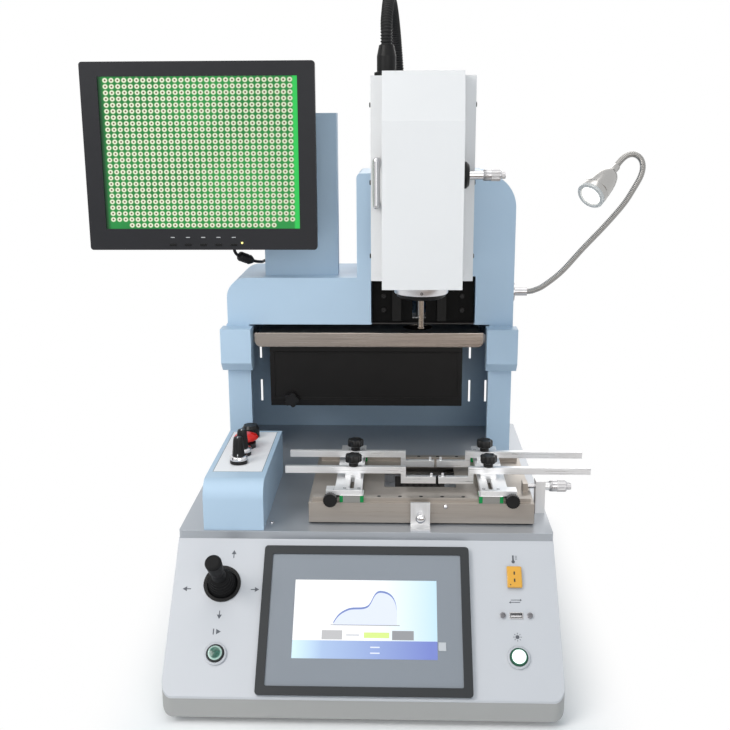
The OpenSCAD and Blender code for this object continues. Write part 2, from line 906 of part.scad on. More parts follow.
// Side outline of the pod, drawn in from its faces
module pod_outline(i, down) {
    translate([pod_front + i, deck_z - down]) square([pod_d - 2 * i, pod_h - pod_r + down]);
    translate([pod_front + pod_r, deck_z - down]) square([pod_d - pod_r - i, pod_h - i + down]);
    translate([pod_front + pod_r, pod_top - pod_r]) circle(pod_r - i);
}

module pod_panel_outline(grow) {
    block([pod_x0 + pod_rim - grow, pod_panel_y - grow, pod_top - pod_panel_t],
        [pod_x1 - pod_rim + grow, pod_rear - pod_rim + grow, pod_top + grow]);
}

module control_pod() {
    shaft_places = [dimmer_y, dimmer_y + pod_pitch, stop_y, pod_knob_y];
    color([0.68, 0.77, 0.85]) difference() {
        along_x(pod_x0, pod_x1) pod_outline(0, 0);
        along_x(pod_x0 + pod_wall, pod_x1 - pod_wall) pod_outline(pod_wall, over);
        pod_panel_outline(run_gap / 3);
        for (y = shaft_places) bar_z([pod_row_x, y, pod_top - 2 * shaft_deep], shaft_r + 1, 3 * shaft_deep);
    }
    color([0.82, 0.83, 0.85]) difference() {
        pod_panel_outline(0);
        for (y = shaft_places)
            bar_z([pod_row_x, y, pod_top - 2 * shaft_deep], shaft_r + fit_gap, 3 * shaft_deep);
    }
    color([0.1, 0.1, 0.1]) translate([pod_row_x, stop_y, pod_top]) difference() {
        cylinder(r = collar_r, h = collar_up);
        translate([0, 0, -over]) cylinder(r = shaft_r + fit_gap, h = collar_up + 2 * over);
    }
}

module dimmer_knob(y) {
    skirt_h = 9;
    cap_h = 2;
    grip = dimmer_d * 0.6;
    color([0.1, 0.1, 0.1]) translate([pod_row_x, y, pod_top + run_gap]) {
        rotate_extrude() polygon([
            [0, 0], [dimmer_d / 2 - 0.5, 0], [dimmer_d / 2 - 0.5, 3.5], [dimmer_d / 2, 4],
            [dimmer_d / 2, skirt_h - 1.5], [dimmer_d / 2 - 1.5, skirt_h], [0, skirt_h]]);
        translate([0, 0, skirt_h]) linear_extrude(dimmer_h - skirt_h - cap_h) flutes(grip, 12, 1);
        translate([0, 0, dimmer_h - cap_h]) cylinder(d1 = grip - 1.3, d2 = grip - 3, h = cap_h);
        translate([0, 0, -shaft_deep]) cylinder(r = shaft_r, h = shaft_deep + over);
    }
}

module dimmer_knob_front() {
    dimmer_knob(dimmer_y);
}

module dimmer_knob_rear() {
    dimmer_knob(dimmer_y + pod_pitch);
}

module emergency_stop() {
    color([0.86, 0.12, 0.08]) translate([pod_row_x, stop_y, pod_top]) {
        translate([0, 0, stop_lift]) rotate_extrude() polygon([
            [0, 0], [stop_d / 2 - 1.5, 0], [stop_d / 2, 1.5], [stop_d / 2, 3], [stop_d / 2 - 1.5, 5],
            [stop_d / 2 - 5, 6.8], [stop_d / 2 - 9, stop_head], [0, stop_head]]);
        translate([0, 0, -shaft_deep]) cylinder(r = shaft_r, h = shaft_deep + stop_lift + over);
    }
}

module pod_knob() {
    cap_h = 4;
    color([0.06, 0.06, 0.06]) translate([pod_row_x, pod_knob_y, pod_top + run_gap]) {
        linear_extrude(pod_knob_h - cap_h) flutes(pod_knob_d, 24, 0.8);
        translate([0, 0, pod_knob_h - cap_h])
            cylinder(d1 = pod_knob_d - 1.2, d2 = pod_knob_d - 5, h = cap_h);
        translate([0, 0, -shaft_deep]) cylinder(r = shaft_r, h = shaft_deep + over);
    }
}

// Copies on the left and right of the rear frame, drawn for the right
module both_sides() {
    translate([portal_x, 0, 0]) children();
    translate([portal_x, 0, 0]) mirror([1, 0, 0]) children();
}

module rear_portal() {
    half = portal_w / 2;
    color([0.68, 0.77, 0.85]) {
        difference() {
            union() {
                block([portal_x0, portal_rear - sheet_t, deck_z], [portal_x1, portal_rear, col_top]);
                both_sides() {
                    block([half - sheet_t, portal_front, deck_z], [half, portal_rear, col_top]);
                    block([bay_half, portal_front, deck_z], [half, portal_front + sheet_t, col_top]);
                    block([bay_half, portal_front, deck_z],
                        [bay_half + sheet_t, portal_front + return_d, col_top]);
                }
            }
            for (x = wall_slot_x, z = slot_rows)
                block([x - wall_slot_w / 2, portal_rear - 2 * sheet_t, z],
                    [x + wall_slot_w / 2, portal_rear + over, z + slot_tall]);
        }
        both_sides() along_x(guide_in, guide_out) polygon([
            [portal_front + guide_seat, guide_top], [portal_front - guide_d, guide_top],
            [portal_front - guide_d, guide_top - guide_h + guide_chamfer],
            [portal_front - guide_d + guide_chamfer, guide_top - guide_h],
            [portal_front + guide_seat, guide_top - guide_h]]);
    }
}

module drawer_runners() {
    color([0.75, 0.75, 0.76]) both_sides()
        block([fixed_in, portal_front + sheet_t, runner_z], [bay_half, runner_back, runner_z + runner_h]);
}

module runner_middles() {
    color([0.7, 0.7, 0.71]) both_sides()
        block([middle_in, portal_front + sheet_t, runner_z + 0.5],
            [middle_out, runner_back - 2, runner_z + runner_h - 0.5]);
}

module drawer_tray() {
    color([0.66, 0.63, 0.6]) {
        along_y(drawer_front, drawer_front + tray_t) translate([portal_x, tray_top - flange_h]) {
            translate([-flange_half, flange_r]) square([2 * flange_half, flange_h - flange_r]);
            stadium([-flange_half + flange_r, flange_r], [flange_half - flange_r, flange_r], flange_r);
        }
        difference() {
            block([portal_x - slide_in, drawer_front, optics_top],
                [portal_x + slide_in, tray_back, tray_top]);
            bar_z([nozzle_x, lens_y, optics_top - over], lens_d / 2, tray_t + 2 * over);
        }
        both_sides() {
            block([slide_in - tray_lip, drawer_front, runner_z], [slide_in, tray_back, tray_top]);
            block([slide_in, portal_front + sheet_t, runner_z],
                [slide_out, runner_back - 4, runner_z + runner_h]);
        }
    }
}

module optics_box() {
    rim = 6;
    head_strip = 24;
    lens_deep = 12;
    x0 = optics_x - optics_w / 2;
    x1 = optics_x + optics_w / 2;
    color([0.09, 0.09, 0.09]) difference() {
        block([x0, optics_front, optics_z], [x1, optics_front + optics_d, optics_top]);
        block([x0 + rim, optics_front - over, optics_z + rim],
            [x1 - rim, optics_front + 1, optics_top - head_strip]);
        bar_z([nozzle_x, lens_y, optics_top - lens_deep], lens_d / 2, lens_deep + over);
        bar_z([nozzle_x, lens_y, optics_z - over], lens_d / 2, lens_deep + over);
        bar_y([star_x, optics_front - over, optics_z + star_up], shaft_r + fit_gap, shaft_deep + over);
    }
}

module drawer_knob() {
    color([0.05, 0.05, 0.05]) translate([star_x, optics_front - run_gap, optics_z + star_up])
        rotate([90, 0, 0]) {
            linear_extrude(star_deep) lobes(star_d, 5, 3.5);
            translate([0, 0, -shaft_deep + 0.5]) cylinder(r = shaft_r, h = shaft_deep);
        }
}

// Front outline of the casing's wing and tower, drawn in from its faces
module casing_outline(i) {
    translate([casing_x0 + i, col_top + i]) square([tower_x0 - casing_x0, wing_h - wing_r - i]);
    translate([casing_x0 + wing_r, col_top + i])
        square([tower_x0 - casing_x0 - wing_r + 2 * i, wing_h - 2 * i]);
    translate([casing_x0 + wing_r, wing_top - wing_r]) circle(wing_r - i);
    translate([tower_x0 + i, col_top + i]) square([tower_w - 2 * i, tower_h - tower_r - i]);
    translate([tower_x0 + tower_edge_r, col_top + i])
        square([tower_w - tower_r - tower_edge_r, tower_h - 2 * i]);
    translate([tower_x0 + i, col_top + i]) square([tower_w / 2, tower_h - tower_edge_r - i]);
    translate([tower_x0 + tower_edge_r, tower_top - tower_edge_r]) circle(tower_edge_r - i);
    translate([casing_x1 - tower_r, tower_top - tower_r]) circle(tower_r - i);
}

module upper_casing() {
    color([0.68, 0.77, 0.85]) difference() {
        along_y(portal_front, portal_rear) casing_outline(0);
        along_y(portal_front + sheet_t, portal_rear - sheet_t) casing_outline(sheet_t);
        block([slide_x - slide_w / 2 - 1, portal_front - over, col_top - over],
            [slide_x + slide_w / 2 + 1, portal_front + sheet_t + over, wing_top + 2]);
        block([head_x - lift_half, portal_front - over, col_top - over],
            [head_x + lift_half, portal_front + sheet_t + over, tower_top - 6]);
        along_y(portal_rear - sheet_t - over, portal_rear + over) {
            translate([(tower_x0 + casing_x1) / 2, (col_top + tower_top) / 2]) vent_row(12, tower_h * 0.3);
            translate([(casing_x0 + tower_x0) / 2, (col_top + wing_top) / 2]) vent_row(9, wing_h * 0.5);
        }
    }
}

// Gland of the hose on the tower, grommet of the lead on the wing and socket of the lamp
module casing_fittings() {
    color([0.08, 0.08, 0.08]) {
        translate([gland_x, gland_y, tower_top]) rotate_extrude() polygon([
            [0, 0], [hose_d / 2 + 6, 0], [hose_d / 2 + 6, 4], [hose_d / 2 + 3, 5],
            [hose_d / 2 + 2, gland_h], [0, gland_h]]);
        translate([lead_end[0], lead_end[1], wing_top]) rotate_extrude() polygon([
            [0, 0], [grommet_r, 0], [grommet_r, grommet_h / 2], [grommet_r - 2, grommet_h],
            [0, grommet_h]]);
    }
    color([0.8, 0.8, 0.81]) translate([lamp_x, lamp_y, lamp_z]) difference() {
        union() {
            bar_x([0, 0, 0], socket_d / 2, socket_t);
            bar_x([socket_t, 0, 0], ferrule_r, ferrule_len);
        }
        bar_x([socket_t, 0, 0], neck_d / 2 + fit_gap, ferrule_len + over);
    }
}

module slide_plate() {
    color([0.05, 0.05, 0.05]) difference() {
        block([slide_x - slide_w / 2, plate_front, casing_floor],
            [slide_x + slide_w / 2, plate_back, tower_top - 5]);
        block([head_x - nut_slot, plate_front - over, casing_floor + block_t - 1],
            [head_x + nut_slot, plate_back + over, bearing_z]);
    }
}

// Fixed pieces of the lift: rails, screw bearings, motor and belt
module lift_drive() {
    color([0.62, 0.62, 0.64]) {
        for (s = [-1, 1])
            block([head_x + s * rail_off - rail_w / 2, rail_front, casing_floor + 2],
                [head_x + s * rail_off + rail_w / 2, plate_front, bearing_z + 2]);
        difference() {
            block([head_x - block_half, plate_back, bearing_z],
                [motor_x + motor_w / 2 + 5, motor_y + motor_w / 2 + 5, bearing_z + bearing_t]);
            bar_z([head_x, screw_y, bearing_z - over], screw_d / 2 + fit_gap, bearing_t + 2 * over);
            bar_z([motor_x, motor_y, bearing_z - over], motor_shaft_r + fit_gap, bearing_t + 2 * over);
        }
        difference() {
            block([head_x - block_half, plate_back, casing_floor],
                [head_x + block_half, screw_y + block_half, casing_floor + block_t]);
            bar_z([head_x, screw_y, casing_floor - over], screw_d / 2 + fit_gap, block_t + 2 * over);
        }
        difference() {
            block([motor_x - motor_w / 2, motor_y - motor_w / 2, bearing_z - motor_h],
                [motor_x + motor_w / 2, motor_y + motor_w / 2, bearing_z]);
            bar_z([motor_x, motor_y, bearing_z - 20], motor_shaft_r + fit_gap, 20 + over);
        }
    }
    color([0.08, 0.08, 0.08]) translate([head_x, screw_y, pulley_z + 0.5])
        rotate(atan2(motor_off_y, motor_off_x)) linear_extrude(pulley_h - 1) belt_loop();
}

// Belt round both pulleys: two half turns and two straight runs laid end to end
module belt_loop() {
    span = norm([motor_off_x, motor_off_y]);
    inner = pulley_r + run_gap;
    outer = inner + belt_t;
    for (turn = [0, 1]) translate([turn * span, 0]) rotate(turn * 180) difference() {
        circle(outer);
        circle(inner);
        translate([0, -2 * outer]) square(4 * outer);
    }
    for (y = [-outer, inner]) translate([0, y]) square([span, belt_t]);
}

module lift_screw() {
    color([0.7, 0.7, 0.72]) {
        bar_z([head_x, screw_y, casing_floor + run_gap], screw_d / 2, pulley_z - casing_floor);
        bar_z([head_x, screw_y, pulley_z], pulley_r, pulley_h);
    }
}

module motor_pulley() {
    color([0.7, 0.7, 0.72]) {
        bar_z([motor_x, motor_y, bearing_z - 15], motor_shaft_r, pulley_z - bearing_z + 16);
        bar_z([motor_x, motor_y, pulley_z], pulley_r, pulley_h);
    }
}

module head_box() {
    x0 = head_x - head_w / 2;
    x1 = head_x + head_w / 2;
    color([0.91, 0.91, 0.92]) difference() {
        block([x0, box_front, box_z], [x1, head_rear, box_top]);
        block([x0 + sheet_t, box_front + sheet_t, box_z + sheet_t],
            [x1 - sheet_t, head_rear - sheet_t, box_top - sheet_t]);
    }
}

// Side outline of the head's cover, drawn in from its faces
module cover_outline(i, back) {
    polygon([
        [box_front + back, head_z + i], [head_front + i, head_z + i], [head_front + i, cover_bend - i / 4],
        [head_front + cover_lean + i, cover_top - i], [box_front + back, cover_top - i]]);
}

module head_cover() {
    x0 = nozzle_x - cover_w / 2;
    color([0.92, 0.92, 0.93]) difference() {
        along_x(x0, cover_x1) cover_outline(0, 0);
        along_x(x0 + sheet_t, cover_x1 - sheet_t) cover_outline(sheet_t, over);
        bar_z([nozzle_x, nozzle_y, head_z - over], nozzle_r + 2, sheet_t + 2 * over);
    }
}

// Fixed pieces of the head: collar, heater, hose connector, handle, dial and lift bracket
module head_fittings() {
    color([0.85, 0.85, 0.86]) {
        difference() {
            translate([nozzle_x, nozzle_y, collar_z]) rotate_extrude() polygon([
                [0, 0], [collar_d / 2 - 6, 0], [collar_d / 2 - 3, 2], [collar_d / 2 - 1.5, collar_h * 0.5],
                [collar_d / 2, collar_h * 0.6], [collar_d / 2, collar_h], [0, collar_h]]);
            bar_z([nozzle_x, nozzle_y, collar_z - over], stem_r + fit_gap, collar_h + 2 * over);
        }
        bar_z([nozzle_x, nozzle_y, core_z], core_d / 2, core_h);
        for (z = [handle_z, handle_z + handle_span]) {
            bar_y([handle_x, box_front - handle_out, z], handle_r, handle_out);
            translate([handle_x, box_front - handle_out, z]) sphere(handle_r);
        }
        bar_z([handle_x, box_front - handle_out, handle_z], handle_r, handle_span);
        difference() {
            bar_x([cover_x1 + dial_t, nozzle_y, dial_z], sleeve_out, dial_sleeve);
            bar_x([cover_x1 + dial_t + over, nozzle_y, dial_z], spindle_r + fit_gap, dial_sleeve);
        }
    }
    color([0.06, 0.06, 0.06]) {
        translate([cover_x1, nozzle_y, dial_z]) rotate([0, 90, 0]) rotate_extrude() polygon([
            [0, 0], [dial_d / 2, 0], [dial_d / 2, dial_t - 3], [dial_d / 2 - 3, dial_t], [0, dial_t]]);
        translate([hose_x, hose_y, box_top]) rotate_extrude() polygon([
            [0, 0], [connector_d / 2 + 3, 0], [connector_d / 2 + 3, 4], [connector_d / 2, 5],
            [connector_d / 2, 22], [hose_d / 2 + 1.5, connector_h], [0, connector_h]]);
        lift_bracket();
    }
}

// Bracket behind the head: two blocks on the rails and the nut on the screw
module lift_bracket() {
    wide = rail_off + rail_w / 2 + 7;
    face = rail_front - run_gap;
    slot = rail_w / 2 + run_gap;
    block([head_x - wide, head_rear, bracket_z], [head_x + wide, face, bracket_z + bracket_h]);
    for (s = [-1, 1]) difference() {
        block([head_x + s * rail_off - rail_w / 2 - 7, face, bracket_z],
            [head_x + s * rail_off + rail_w / 2 + 7, plate_front - run_gap, bracket_z + bracket_h]);
        block([head_x + s * rail_off - slot, face - over / 2, bracket_z - over],
            [head_x + s * rail_off + slot, plate_front, bracket_z + bracket_h + over]);
    }
    difference() {
        block([head_x - nut_half, face, nut_z], [head_x + nut_half, screw_y + nut_half, nut_z + nut_h]);
        bar_z([head_x, screw_y, nut_z - over], screw_d / 2 + fit_gap, nut_h + 2 * over);
    }
}

module nozzle() {
    color([0.6, 0.55, 0.48]) difference() {
        union() {
            bar_z([nozzle_x, nozzle_y, nozzle_tip], nozzle_r, nozzle_len - run_gap);
            bar_z([nozzle_x, nozzle_y, nozzle_tip + over], stem_r, nozzle_top - nozzle_tip - over);
            bar_z([nozzle_x, nozzle_y, head_z + sheet_t + run_gap], stem_r + 4.5, 4);
        }
        bar_z([nozzle_x, nozzle_y, nozzle_tip - over], nozzle_r / 2, nozzle_len * 0.6);
    }
}

// Thimble, ratchet and spindle of a micrometer along X
module thimble(spindle_back) {
    cup = thimble_len - 5;
    difference() {
        rotate([0, 90, 0]) rotate_extrude() polygon([
            [0, 0], [thimble_d / 2 - 0.5, 0], [thimble_d / 2, 2], [thimble_d / 2, thimble_len - 1],
            [thimble_d / 2 - 1, thimble_len], [0, thimble_len]]);
        bar_x([-over, 0, 0], sleeve_out + run_gap, cup + over);
    }
    bar_x([thimble_len - over, 0, 0], ratchet_r, ratchet_len + over);
    bar_x([-spindle_back, 0, 0], spindle_r, spindle_back + cup + over);
}

module head_thimble() {
    color([0.82, 0.82, 0.83]) translate([head_thimble_x, nozzle_y, dial_z]) thimble(10);
}

module air_hose() {
    color([0.05, 0.05, 0.05]) swept_tube(curve(hose_points, 2), hose_d, 12, [1, 0, 0]);
}

// Post on the wing with the arm that carries the monitor's hinge
module monitor_post() {
    px0 = -post_x - post_w / 2;
    px1 = -post_x + post_w / 2;
    plate_y = post_y - arm_plate_t;
    color([0.68, 0.77, 0.85]) difference() {
        block([px0, post_y, wing_top], [px1, post_y + post_t, wing_top + post_h]);
        block([px0 + sheet_t, post_y + sheet_t, wing_top - over],
            [px1 - sheet_t, post_y + post_t - sheet_t, wing_top + post_h - sheet_t]);
    }
    color([0.1, 0.1, 0.1]) {
        block([-monitor_x - knuckle_w / 2 - ear_w, plate_y, arm_z - arm_plate_h / 2],
            [px0 + 40, post_y, arm_z + arm_plate_h / 2]);
        for (s = [-1, 1]) translate([-monitor_x + s * ear_off, 0, arm_z]) difference() {
            union() {
                bar_x([-ear_w / 2, tilt_y, 0], knuckle_r, ear_w);
                block([-ear_w / 2, tilt_y, -knuckle_r], [ear_w / 2, plate_y, knuckle_r]);
            }
            bar_x([-ear_w, tilt_y, 0], tilt_pin_r + fit_gap, 2 * ear_w);
        }
    }
}

module monitor_bezel() {
    color([0.12, 0.12, 0.13]) translate([-monitor_x, 0, arm_z]) difference() {
        along_y(monitor_front, back_y) rounded(monitor_w, monitor_h, 4);
        along_y(monitor_front - over, back_y + over)
            translate([0, screen_shift]) square([screen_w, screen_h], center = true);
    }
}

module monitor_back() {
    color([0.1, 0.1, 0.1]) translate([-monitor_x, 0, arm_z]) {
        difference() {
            along_y(back_y, back_edge) rounded(monitor_w - 4, monitor_h - 4, 6);
            along_y(back_y - over, back_edge - 3) rounded(monitor_w - 12, monitor_h - 12, 6);
            for (s = [-1, 1]) along_y(back_edge - 3 - over, back_edge + over)
                translate([0, s * (bulge_h + monitor_h) / 4]) vent_row(15, (monitor_h - bulge_h) / 4);
        }
        difference() {
            union() {
                along_y(back_edge, back_bulge) rounded(bulge_w, bulge_h, 8);
                bar_x([-knuckle_w / 2, tilt_y, 0], knuckle_r, knuckle_w);
                block([-knuckle_w / 2, back_bulge - over, -knuckle_r], [knuckle_w / 2, tilt_y, knuckle_r]);
            }
            along_y(back_edge - over, back_bulge - 3) rounded(bulge_w - 6, bulge_h - 6, 6);
        }
        bar_x([-knuckle_w / 2 - ear_w, tilt_y, 0], tilt_pin_r, knuckle_w + 2 * ear_w);
    }
}

module monitor_screen() {
    glass = 4;
    inset = 2.5;
    color([0.2, 0.6, 0.25]) translate([-monitor_x, 0, arm_z + screen_shift])
        along_y(monitor_front + inset, monitor_front + inset + glass)
            square([screen_w, screen_h], center = true);
}

module monitor_lead() {
    color([0.04, 0.04, 0.04]) swept_tube(curve(lead_points, 2), lead_d, 8, [0, 0, 1] + [0.3, 0, 0]);
}

module lead_connector() {
    run = connector_b - connector_a;
    long = norm(run);
    color([0.04, 0.04, 0.04]) aimed(connector_a, run) rotate_extrude() polygon([
        [0, 0], [connector_r - 2.5, 0], [connector_r, 3], [connector_r, long - 5],
        [lead_d / 2 + 1, long], [0, long]]);
}

module gooseneck_lamp() {
    last = neck_points[len(neck_points) - 1];
    rim = 12;
    color([0.78, 0.78, 0.79]) translate([lamp_x, lamp_y, lamp_z]) {
        bar_x([socket_t + run_gap, 0, 0], neck_d / 2, ferrule_len);
        swept_tube(curve(neck_points, 2), neck_d, 12, [0, 1, 0]);
        aimed(last, lamp_aim) difference() {
            rotate_extrude() polygon([
                [0, -4], [neck_d / 2 + 1, -4], [neck_d / 2 + 2, 4], [lamp_d * 0.3, lamp_len * 0.26],
                [lamp_d * 0.42, lamp_len * 0.52], [lamp_d / 2, lamp_len - rim], [lamp_d / 2, lamp_len],
                [0, lamp_len]]);
            translate([0, 0, lamp_len - 2]) cylinder(d = lamp_d - 6, h = 3);
        }
    }
}

// Steel box of the board holder with its heater window, runner blocks and cross rails
module stage_box() {
    color([0.7, 0.68, 0.66]) {
        difference() {
            block([stage_x0, stage_y0, stage_z0], [stage_x1, stage_y1, stage_top]);
            block([stage_x0 + sheet_t, stage_y0 + sheet_t, stage_z0 - over],
                [stage_x1 - sheet_t, stage_y1 - sheet_t, stage_top - sheet_t]);
            block([nozzle_x - window_w / 2, nozzle_y - window_d / 2, stage_top - 2 * sheet_t],
                [nozzle_x + window_w / 2, nozzle_y + window_d / 2, stage_top + over]);
            translate([nozzle_x, stage_y0 + 16, stage_top - 2 * sheet_t])
                for (k = [0:row_holes - 1])
                    bar_z([(k - (row_holes - 1) / 2) * row_pitch, 0, 0], row_hole_r, 3 * sheet_t);
        }
        for (x = runner_x, y = guide_bar_y)
            block([x - runner_half, y - guide_bar_w / 2, deck_z + guide_bar_h + run_gap],
                [x + runner_half, y + guide_bar_w / 2, stage_top - sheet_t]);
        for (y = x_rail_y)
            block([stage_x0 + 4, y - x_rail_w / 2, stage_top],
                [stage_x1 - 4, y + x_rail_w / 2, stage_top + x_rail_h]);
        block([anvil_x, mic_y - 7, stage_top], [anvil_x + anvil_t, mic_y + 7, mic_z + 5]);
    }
}

// Fixed pieces under and beside the board holder: guide bars, micrometer stand and clamp bracket
module stage_base() {
    color([0.72, 0.72, 0.72]) {
        for (y = guide_bar_y)
            block([runner_x[0] - 2 * runner_half, y - guide_bar_w / 2, deck_z],
                [runner_x[1] + 2 * runner_half, y + guide_bar_w / 2, deck_z + guide_bar_h]);
        difference() {
            union() {
                block([stand_x, mic_y - 8, deck_z], [stand_x + stand_t, mic_y + 8, mic_z + 8]);
                bar_x([stand_x + stand_t, mic_y, mic_z], sleeve_out, mic_sleeve);
            }
            bar_x([stand_x - over, mic_y, mic_z], spindle_r + fit_gap, stand_t + mic_sleeve + 2 * over);
        }
        difference() {
            union() {
                block([bracket_x - bracket_w / 2, bracket_y, deck_z],
                    [bracket_x + bracket_w / 2, bracket_y + bracket_t, stage_top + 3]);
                block([bracket_x - bracket_w / 2, bracket_y - 12, deck_z],
                    [bracket_x + bracket_w / 2, bracket_y + bracket_t, deck_z + 2.5]);
            }
            bar_y([bracket_x, bracket_y - over, lock_screw_z], stud_r + fit_gap, bracket_t + 2 * over);
        }
    }
}

module lower_heater() {
    slots = 7;
    color([0.16, 0.16, 0.17]) difference() {
        block([nozzle_x - heater_w / 2, nozzle_y - heater_d / 2, deck_z],
            [nozzle_x + heater_w / 2, nozzle_y + heater_d / 2, deck_z + heater_h]);
        for (k = [0:slots - 1])
            translate([nozzle_x + (k - (slots - 1) / 2) * 7.5, nozzle_y, deck_z + heater_h])
                cube([3, heater_d - 10, 8], center = true);
    }
}

// Carriage drawn for the right: slotted plate, rail blocks and the lug of its lock knob
module right_carriage_at_slot() {
    groove = x_rail_w / 2 + run_gap;
    lug = lock_off - slot_off;
    color([0.78, 0.77, 0.75]) {
        difference() {
            union() {
                block([-plate_inner, stage_y0, plate_z], [plate_outer, stage_y1 - over, plate_top]);
                block([0, stage_y0, plate_z], [tab_outer, stage_y0 + tab_d, plate_top]);
            }
            translate([0, 0, plate_z - over]) linear_extrude(slot_plate_t + 2 * over)
                stadium([0, stage_y0 + 8], [0, stage_y1 - 10], slot_w / 2);
        }
        difference() {
            union() {
                for (y = x_rail_y)
                    block([-block_l / 2, y - block_w / 2, block_z],
                        [block_l / 2, y + block_w / 2, plate_z]);
                block([lug - lug_half, lock_face, block_z], [lug + lug_half, stage_y0 + tab_d, plate_z]);
            }
            for (y = x_rail_y)
                block([-stage_w, y - groove, stage_top],
                    [stage_w, y + groove, stage_top + x_rail_h + run_gap]);
            bar_y([lug, lock_face - over, lock_z], stud_r + fit_gap, lock_stud + over);
        }
    }
}

// Children at the left or right clamp slot, drawn for the right
module at_slot(s) {
    translate([nozzle_x + s * slot_off, 0, 0]) mirror([s < 0 ? 1 : 0, 0, 0]) children();
}

module left_carriage() {
    at_slot(-1) right_carriage_at_slot();
}

module right_carriage() {
    at_slot(1) right_carriage_at_slot();
}

// Board arm: bar, cranked finger with its pin, slider and tongue in the carriage's slot
module board_arm(s, y) {
    end = s < 0 ? left_end : right_end;
    tip = end - s * arm_len;
    crank = tip + s * finger_len;
    mid = nozzle_x + s * slot_off;
    color([0.88, 0.87, 0.86]) difference() {
        union() {
            block([min(end, crank), y - arm_t / 2, arm_z0], [max(end, crank), y + arm_t / 2, arm_top]);
            block([min(crank, crank + s * arm_t), y - arm_t / 2, arm_z0 - crank_drop],
                [max(crank, crank + s * arm_t), y + arm_t / 2, arm_top]);
            block([min(tip, crank), y - arm_t / 2, arm_z0 - crank_drop],
                [max(tip, crank), y + arm_t / 2, arm_top - crank_drop]);
            bar_z([tip + s * 5, y, arm_top - crank_drop - over], 1.5, 4 + over);
            block([mid - 9, y - 8, plate_top], [mid + 9, y + 8, arm_z0]);
            block([mid - tongue_w / 2, y - 7, plate_z + 0.5], [mid + tongue_w / 2, y + 7, plate_top]);
        }
        bar_z([mid, y, plate_z - over], stud_r + fit_gap, arm_top - plate_z + 2 * over);
    }
}

module arm_front_left() {
    board_arm(-1, arm_y_front);
}

module arm_front_right() {
    board_arm(1, arm_y_front);
}

module arm_rear_left() {
    board_arm(-1, arm_y_rear);
}

module arm_rear_right() {
    board_arm(1, arm_y_rear);
}

module clamp_knob(s, y) {
    color([0.05, 0.05, 0.05]) translate([nozzle_x + s * slot_off, y, arm_top + run_gap]) {
        cylinder(r = clamp_d * 0.26, h = clamp_neck + over);
        translate([0, 0, clamp_neck]) linear_extrude(clamp_head) lobes(clamp_d, 7, 2.6);
        translate([0, 0, plate_z - arm_top + 1]) cylinder(r = stud_r, h = arm_top - plate_z);
    }
}

module clamp_front_left() {
    clamp_knob(-1, arm_y_front);
}

module clamp_front_right() {
    clamp_knob(1, arm_y_front);
}

module clamp_rear_left() {
    clamp_knob(-1, arm_y_rear);
}

module clamp_rear_right() {
    clamp_knob(1, arm_y_rear);
}

module lock_knob(s) {
    color([0.05, 0.05, 0.05]) translate([nozzle_x + s * lock_off, lock_face - run_gap, lock_z])
        rotate([90, 0, 0]) {
            linear_extrude(lock_t) flutes(lock_d, 20, 0.8);
            translate([0, 0, -lock_stud]) cylinder(r = stud_r, h = lock_stud + over);
        }
}

module lock_knob_left() {
    lock_knob(-1);
}

module lock_knob_right() {
    lock_knob(1);
}

module stage_thimble() {
    color([0.82, 0.82, 0.83]) translate([thimble_x, mic_y, mic_z])
        thimble(thimble_x - anvil_x - anvil_t - run_gap);
}

module stage_lock_screw() {
    color([0.75, 0.75, 0.76]) translate([bracket_x, bracket_y - run_gap, lock_screw_z]) rotate([90, 0, 0]) {
        linear_extrude(lock_screw_len) flutes(lock_screw_d, 18, 0.6);
        translate([0, 0, bracket_y - stage_y0]) cylinder(r = stud_r, h = stage_y0 - bracket_y + over);
    }
}

base_shell();
front_panel();
deck_plate();
rubber_feet();
electronics();
touch_panel_frame();
touch_panel_screen();
joystick_housing();
joystick_yoke();
joystick_stick();
panel_fittings();
start_button();
headlamp_button();
control_pod();
dimmer_knob_front();
dimmer_knob_rear();
emergency_stop();
pod_knob();
rear_portal();
drawer_runners();
runner_middles();
drawer_tray();
optics_box();
drawer_knob();
upper_casing();
casing_fittings();
slide_plate();
lift_drive();
lift_screw();
motor_pulley();
head_box();
head_cover();
head_fittings();
nozzle();
head_thimble();
air_hose();
monitor_post();
monitor_bezel();
monitor_back();
monitor_screen();
monitor_lead();
lead_connector();
gooseneck_lamp();
stage_box();
stage_base();
lower_heater();
left_carriage();
right_carriage();
arm_front_left();
arm_front_right();
arm_rear_left();
arm_rear_right();
clamp_front_left();
clamp_front_right();
clamp_rear_left();
clamp_rear_right();
lock_knob_left();
lock_knob_right();
stage_thimble();
stage_lock_screw();
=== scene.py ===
"""Looks of a bench rework station: finishes, hose, lead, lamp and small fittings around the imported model."""
import math

import bmesh
import bpy
from mathutils import Matrix, Vector


